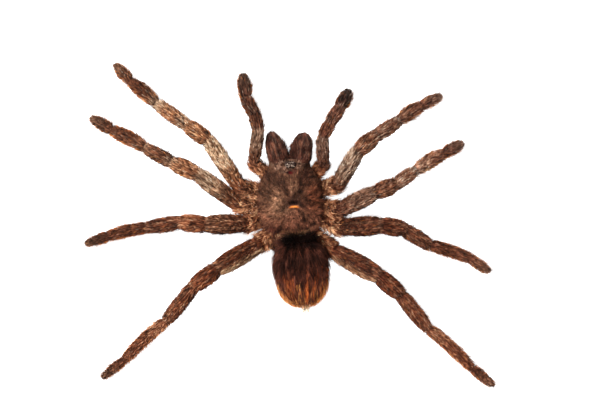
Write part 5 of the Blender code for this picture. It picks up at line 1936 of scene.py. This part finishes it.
ABDOMEN_FUR = 14000
ABDOMEN_SETAE = 3600
ABDOMEN_FRINGE_COUNT = 2400
ABDOMEN_FRONT_COUNT = 1500
ABDOMEN_BRIGHTEST = 1.8
ABDOMEN_SEED = 20
ABDOMEN_LOW = Layer(
    2.3, 0.17, (-0.2, 0.34, 0.6, 0.78), sway=0.08, pitch=0.6, gather=0.6, contrast=0.75,
    brightest=ABDOMEN_BRIGHTEST,
)
ABDOMEN_HIGH = ABDOMEN_LOW._replace(heights=(-0.2, 0.5, 0.85, 1.0))
ABDOMEN_LONG = Layer(4.4, 0.12, (-0.2, 0.8, 1.25, 1.7), 0.14, pitch=1.3, brightest=ABDOMEN_BRIGHTEST)
ABDOMEN_REAR = Layer(3.8, 0.13, (-0.2, 0.7, 1.2, 1.6), 0.14, pitch=1.0, brightest=ABDOMEN_BRIGHTEST)
ABDOMEN_FOREMOST = Layer(1.8, 0.15, (-0.2, 1.1, 2.0, 2.5), sway=0.2, pitch=1.0)


class TARANTULA_OT_abdomen_coat(Operator):
    """Grow the long setae of the abdomen, in three layers."""

    bl_idname = "tarantula.abdomen_coat"
    bl_label = "Coat of the abdomen"

    def execute(self, context):
        depth = sizes().abdomen_coat / MM
        sheet = abdomen_sheet(depth)
        finish = coat_material("coat")
        draw = new_draw(ABDOMEN_SEED)
        for part, layer in (("low", ABDOMEN_LOW), ("high", ABDOMEN_HIGH)):
            batch = coat_layer(sheet, layer, ABDOMEN_FUR // 2, draw, abdomen_tint, depth)
            add_tufts(f"coat_abdomen_{part}", [batch], finish)
        coats = (
            (ABDOMEN_LONG, ABDOMEN_SETAE, toned(abdomen_tint, ABDOMEN_BROWN, 0.2), None),
            (ABDOMEN_REAR, ABDOMEN_FRINGE_COUNT, toned(abdomen_tint, ABDOMEN_FRINGE, 0.55), self.rear),
            (ABDOMEN_FOREMOST, ABDOMEN_FRONT_COUNT, abdomen_tint, self.front),
        )
        batches = [
            coat_layer(sheet, layer, tufts, draw, tint, depth, wanted) for layer, tufts, tint, wanted in coats
        ]
        add_tufts("coat_abdomen_setae", batches, finish)
        return {"FINISHED"}

    def front(self, level, turn):
        return (level < 40) * np.clip(0.5 + np.cos(turn), 0.05, 1)

    def rear(self, level, turn):
        return rise(level, 106, 20) * (0.04 + window(np.abs(turn), 1.3, 1.7, 0.15))


CARAPACE_FUR = 11000
FACE_FUR = 3800
SPINNERET_FUR = 400
INNER_FUR = 700
BRISTLE_LEVEL = 0.62
BRISTLE_TURN = -1.45
BRISTLE = ((-0.4, -0.2, 0.1), (0.7, 0.7, 0.5), (1.6, 1.6, 0.6), (2.6, 2.5, 0.2))
BRISTLE_SHADE = 0.18
BRISTLE_WIDTH = 0.5
BRISTLE_PATCH = (0.5, 0.5)  # its place on the bake's map
SHOULDER_FUR = 1400
STERNUM_FUR = 2000
MOUND_FUR = 1100
HEM_COUNT = 500
WAIST_COUNT = 1500
WAIST_FROM = 0.75  # radians from straight ahead where the hair of the body wall starts
WAIST_ROOT = 0.9
WAIST_RISE = (-1.3, 0.3)
WAIST_BACK = 0.25
WAIST_LENGTH = 5.0
WAIST_WIDTH = 0.2
WAIST_DROOP = 0.6
CARAPACE_SEED = 30
FACE_SEED = 40
REAR_SEED = 50
HAIR_STAGES = (0.0, 0.5, 1.0)  # root, middle and tip of the radial hairs
VELVET = Layer(0.75, 0.21, (-0.08, 0.6, 0.9))
VELVET_LONG = Layer(1.9, 0.12, (-0.08, 1.6, 3.2))
RIM_FRINGE = Layer(2.0, 0.13, (-0.08, 1.2, 1.0))
REAR_HEM = Layer(1.7, 0.14, (-0.08, 1.2, 0.4))
MOUND_DOWN = Layer(0.45, 0.08, (-0.05, 0.12, 0.2))
FACE_VELVET = Layer(1.2, 0.2, (-0.1, 0.6, 1.0), pitch=0.55)
FACE_LONG = Layer(2.0, 0.12, (-0.1, 1.4, 2.6), sway=0.2)
FACE_INNER = Layer(2.0, 0.14, (-0.1, 0.7, 1.0), sway=0.3)
# brightest is high so that the spinnerets' hair can go past white: painted light against the abdomen's shade
SPINNERET_DOWN = Layer(1.1, 0.1, (-0.05, 0.25, 0.6), sway=0.3, brightest=3.0)
STERNUM_DOWN = Layer(1.3, 0.17, (-0.1, 0.15, 0.25))
SHOULDER_HAIR = Layer(2.4, 0.2, (-0.1, 0.6, 1.0), sway=0.25, pitch=1.0, contrast=0.8)


class TARANTULA_OT_body_coat(Operator):
    """Grow the velvet of the carapace, the chelicerae, the underside and the spinnerets."""

    bl_idname = "tarantula.body_coat"
    bl_label = "Coat of the body"

    def execute(self, context):
        finish = coat_material("coat")
        add_tufts("coat_carapace", self.carapace(), finish)
        for number, side in enumerate(SIDES):
            draw = new_draw(FACE_SEED + number)
            add_tufts(f"coat_chelicera_{side}", self.chelicera(side, draw), finish)
        draw = new_draw(REAR_SEED)
        for number, sheet in enumerate(spinneret_sheets()):
            batch = coat_layer(sheet, SPINNERET_DOWN, SPINNERET_FUR, draw, spinneret_tint(number))
            add_tufts(f"coat_spinneret_{number}", [batch], finish)
        shoulder = dome_sheet(SHOULDER_MIDDLE, SHOULDER_HALF)
        batches = [
            coat_layer(
                sternum_dome(), STERNUM_DOWN, STERNUM_FUR, draw, flat_tint(STERNUM_COAT), wanted=self.below
            ),
            coat_layer(shoulder, SHOULDER_HAIR, SHOULDER_FUR, draw, shoulder_tint),
        ]
        add_tufts("coat_sternum", batches, finish)
        return {"FINISHED"}

    def below(self, level, turn):
        return (np.cos(turn) < 0.2) * np.ones_like(level)

    def ahead(self, level, turn):
        return (level > 0.0) * np.ones_like(turn)

    def inner(self, side):
        """The inner flank of a chelicera, near its root."""

        def wanted(level, turn):
            return window(level, -0.05, 0.15, 0.45) * window(turn * SIDES[side], 0.9, 2.2, 0.3)

        return wanted

    def chelicera(self, side, draw):
        """Velvet, a few longer pale hairs, and the dark hair of the inner flank."""
        depth = shell_depth()
        lobe = face_lobe(side, depth)
        pale = toned(face_tint, PALE_HAIR, 0.06)
        # the inner flank's hair is drawn toward the painted shade's colour
        dark = toned(face_tint, UNDERSIDE_SHADE, 0.4)
        batches = [
            coat_layer(lobe, FACE_VELVET, FACE_FUR, draw, face_tint, depth, self.ahead),
            coat_layer(lobe, FACE_LONG, FACE_FUR // 8, draw, pale, depth, self.ahead),
            coat_layer(lobe, FACE_INNER, INNER_FUR, draw, dark, wanted=self.inner(side)),
        ]
        return [*batches, self.bristle(lobe)] if side == "right" else batches

    def bristle(self, lobe):
        """One stout bristle, orange at its root, that stands off the inner flank and points back."""
        row = np.full(3, np.interp(BRISTLE_LEVEL, lobe.level, np.arange(len(lobe.level))))
        column = np.full(3, (BRISTLE_TURN - lobe.turn[0]) / (lobe.turn[1] - lobe.turn[0]))
        root = lobe.at(row[:1], column[:1])[0]
        lines = root + np.array(BRISTLE)[:, None]
        tints = np.array([linear(FRINGE)])
        outs = np.broadcast_to(UP, lines.shape)
        return lines, outs, np.array([BRISTLE_WIDTH]), tints * BRISTLE_SHADE, np.array([BRISTLE_PATCH])

    def carapace(self):
        """Short hairs that lie outwards from the pit, longer ones among them, and fringes at both ends."""
        top, share, column, _ = carapace_grid(shell_depth())
        sheet = Sheet(top, share, column, closed=False)
        draw = new_draw(CARAPACE_SEED)
        return [
            self.radial(sheet, draw, VELVET, CARAPACE_FUR),
            self.radial(sheet, draw, VELVET_LONG, CARAPACE_FUR // 14),
            self.radial(sheet, draw, RIM_FRINGE, CARAPACE_FUR // 6, self.rim),
            self.round_eyes(draw),
            self.waist(draw),
            self.hem(sheet, draw),
        ]

    def waist(self, draw):
        """Long soft hair from the body wall that fills the gaps between the leg bases."""
        count = WAIST_COUNT
        turn = draw.uniform(WAIST_FROM, 2 * math.pi - WAIST_FROM, count)
        flat = np.stack([np.sin(turn), -np.cos(turn), np.zeros(count)], axis=-1)
        root = np.array(PLEURA_MIDDLE) + WAIST_ROOT * flat * np.array((*PLEURA_HALF[:2], 0.0))
        root[:, 2] += draw.uniform(*WAIST_RISE, count)
        swirl = draw.normal(0, 0.25, count)
        beside = flat[:, [1, 0, 2]] * (-1, 1, 1)
        way = unit(flat + WAIST_BACK * np.array((0.0, 1.0, 0.0)) + swirl[:, None] * beside)
        length = (WAIST_LENGTH * (1 + draw.uniform(-0.35, 0.2, count)))[:, None]
        lines = np.array([root, root + way * 0.5 * length, root + way * length - UP * WAIST_DROOP])
        lot = grain(turn * 12, length[:, 0], 95)
        tint = blend(linear(CARAPACE_DARK), linear(BASE_PALE), 0.05 + 0.75 * lot * draw.random(count))
        where = unwrapped(turn / (2 * math.pi), draw.random(count))
        outs = np.broadcast_to(UP, lines.shape)
        return lines, outs, np.full(count, WAIST_WIDTH), tint, where

    def hem(self, sheet, draw):
        """Tan hairs that hang over the front of the abdomen from the middle of the shell's rear edge."""
        lines, outs, widths, tint, where = self.radial(sheet, draw, REAR_HEM, HEM_COUNT, self.rear_edge)
        tint = paint(tint, CARAPACE_FRINGE, 0.15 + 0.7 * draw.random(len(tint)))
        return lines, outs, widths, tint, where

    def rear_edge(self, level, turn):
        return np.exp((level - 1) / 0.008) * (np.abs(turn + 0.08) < 0.5)

    def round_eyes(self, draw):
        """Short down on the mound, clear of the eyes."""
        layer = coat_layer(mound_sheet(), MOUND_DOWN, MOUND_FUR, draw, flat_tint(FACE_PALE))
        lines, outs, widths, _, where = layer
        clear = (eye_clearance(lines) > 0.03).all(axis=0)
        tint = mound_tint(lines[0]) * np.exp(draw.normal(0, 0.3, MOUND_FUR))[:, None]
        return lines[:, clear], outs[:, clear], widths[clear], tint[clear], where[clear]

    def rim(self, level, turn):
        return np.exp(-level / 0.02) + np.exp((level - 1) / 0.015) + 0.3 * (np.abs(turn) > 0.94)

    def radial(self, sheet, draw, layer, count, wanted=None):
        """Hairs that lie away from the pit, except over the bare spots."""
        row, column = sheet.scatter(count, draw, wanted)
        place, out = sheet.at(row, column)
        local = turned(place - on_carapace(0.0, 0.5, 0.0), -CARAPACE_YAW)
        shares = local[:, 1] / CARAPACE_LENGTH + 0.5
        beside = local[:, 0] - FOVEA[0]
        behind = (shares - FOVEA[1]) * CARAPACE_LENGTH
        radius = np.hypot(beside, behind)
        swirl = draw.normal(0, 0.16, count) + 0.45 * (grain(beside / 1.3, behind / 1.3, 9) - 0.5)
        angle = np.arctan2(beside, behind) + swirl
        flat = np.stack([np.sin(angle), np.cos(angle), np.zeros(count)], axis=-1)
        lengths = layer.length * (1 + draw.uniform(-0.25, 0.25, count)) * np.clip(radius / 3.5, 0.35, 1)
        clear = (radius > 0.5) & (local[:, 2] > CARAPACE_UNDERSIDE + 0.3)
        for reach in HAIR_STAGES:
            there = local + flat * (lengths * reach)[:, None]
            there_share = there[:, 1] / CARAPACE_LENGTH + 0.5
            for spot in (bar_spot, face_spot, dot_spots):
                clear &= spot(there[:, 0], there_share) < 0.1
        way = turned(flat, CARAPACE_YAW)
        way = unit(way - out * (way * out).sum(axis=1, keepdims=True))
        heights = [layer.heights[0], *(share * shell_depth() for share in layer.heights[1:])]
        ways = [way * (lengths * reach)[:, None] for reach in HAIR_STAGES]
        lines = np.array([place + moved + out * height for moved, height in zip(ways, heights)])
        tint = carapace_tint(local[:, 0], shares) * np.exp(draw.normal(0, 0.36, count))[:, None]
        widths = layer.width * (1 + draw.uniform(-0.2, 0.2, count))
        where = bake_places(sheet, row, column)
        outs = np.repeat(out[None], 3, axis=0)
        return lines[:, clear], outs[:, clear], widths[clear], tint[clear], where[clear]


# Stage

CAMERA_HEIGHT = 1100.0
FRAME_WIDTH = 237.5  # what the picture's width spans at the height where its scale was read
SCALE_HEIGHT = 8.0
CAMERA_PLACE = (-6.6, -8.15)
SENSOR = 36.0
NEAREST = 0.01  # metres in front of the camera
FLOOR_HALF = 1.5
FLOOR_GLOW = 1.22  # lifts the floor to white where the camera sees it
SKY_STRENGTH = 0.22
LIGHTS = (  # name, place in metres, size in metres, power in watts
    ("key", (0.62, -0.3, 0.95), 0.3, 33.0),
    ("fill", (-0.3, 0.5, 1.1), 0.9, 5.0),
)


class TARANTULA_OT_stage(Operator):
    """Set the pale floor, the soft lights and the camera above the spider."""

    bl_idname = "tarantula.stage"
    bl_label = "Floor, lights and camera"

    def execute(self, context):
        scene = context.scene
        self.floor()
        for name, place, size, power in LIGHTS:
            lamp = bpy.data.lights.new(name, "AREA")
            lamp.energy = power
            lamp.size = size
            light = add_object(name, lamp)
            light.location = place
            light.rotation_euler = (-Vector(place)).to_track_quat("-Z", "Y").to_euler()
        world = bpy.data.worlds.new("studio")
        world.use_nodes = True
        sky = world.node_tree.nodes["Background"]
        fill(world.node_tree, sky, {"Color": (1, 1, 1, 1), "Strength": SKY_STRENGTH})
        scene.world = world
        scene.view_settings.view_transform = "Standard"
        camera = bpy.data.cameras.new("camera")
        camera.sensor_width = SENSOR
        camera.lens = SENSOR * (CAMERA_HEIGHT - SCALE_HEIGHT) / FRAME_WIDTH
        camera.clip_start = NEAREST
        view = add_object("camera", camera)
        view.location = (np.array((*CAMERA_PLACE, CAMERA_HEIGHT)) - MIDDLE) * MM
        view.rotation_euler = (0, 0, math.pi)
        scene.camera = view
        return {"FINISHED"}

    def floor(self):
        """A pale square that glows to white where the camera sees it."""
        mesh = bpy.data.meshes.new("floor")
        corners = [(x * FLOOR_HALF, y * FLOOR_HALF, 0) for x, y in ((-1, -1), (1, -1), (1, 1), (-1, 1))]
        mesh.from_pydata(corners, [], [(0, 1, 2, 3)])
        made, tree, shader = new_material("floor")
        pale = tuple(colours().floor)
        colour, _ = two_tones(tree, 40.0, pale, [0.98 * value for value in pale])
        seen = add_node(tree, "LightPath").outputs["Is Camera Ray"]
        glow = add_node(tree, "Math", {0: seen, 1: FLOOR_GLOW}, operation="MULTIPLY").outputs["Value"]
        fill(tree, shader, {
            "Base Color": colour, "Roughness": 0.9, "Emission Color": colour, "Emission Strength": glow,
        })
        mesh.materials.append(made)
        add_object("floor", mesh)


class TARANTULA_PT_panel(Panel):
    """Lists the steps in the order in which they run."""

    bl_idname = "TARANTULA_PT_panel"
    bl_label = "Tarantula"
    bl_space_type = "VIEW_3D"
    bl_region_type = "UI"
    bl_category = "Tarantula"

    def draw(self, context):
        for step in STEPS:
            self.layout.operator(step.bl_idname)
        for group in (sizes(), colours()):
            for name in group.__annotations__:
                self.layout.prop(group, name)


STEPS = (
    TARANTULA_OT_skin,
    TARANTULA_OT_shell,
    TARANTULA_OT_eyes,
    TARANTULA_OT_face,
    TARANTULA_OT_claws,
    TARANTULA_OT_spinnerets,
    TARANTULA_OT_limb_coat,
    TARANTULA_OT_abdomen_coat,
    TARANTULA_OT_body_coat,
    TARANTULA_OT_stage,
)
CLASSES = (TarantulaSizes, TarantulaColours, *STEPS, TARANTULA_PT_panel)


def register():
    for cls in CLASSES:
        bpy.utils.register_class(cls)
    bpy.types.Scene.tarantula_sizes = PointerProperty(type=TarantulaSizes)
    bpy.types.Scene.tarantula_colours = PointerProperty(type=TarantulaColours)


def unregister():
    del bpy.types.Scene.tarantula_colours
    del bpy.types.Scene.tarantula_sizes
    for cls in reversed(CLASSES):
        bpy.utils.unregister_class(cls)


def main():
    register()
    bpy.ops.tarantula.skin()
    bpy.ops.tarantula.shell()
    bpy.ops.tarantula.eyes()
    bpy.ops.tarantula.face()
    bpy.ops.tarantula.claws()
    bpy.ops.tarantula.spinnerets()
    bpy.ops.tarantula.limb_coat()
    bpy.ops.tarantula.abdomen_coat()
    bpy.ops.tarantula.body_coat()
    bpy.ops.tarantula.stage()


if __name__ == "__main__":
    main()
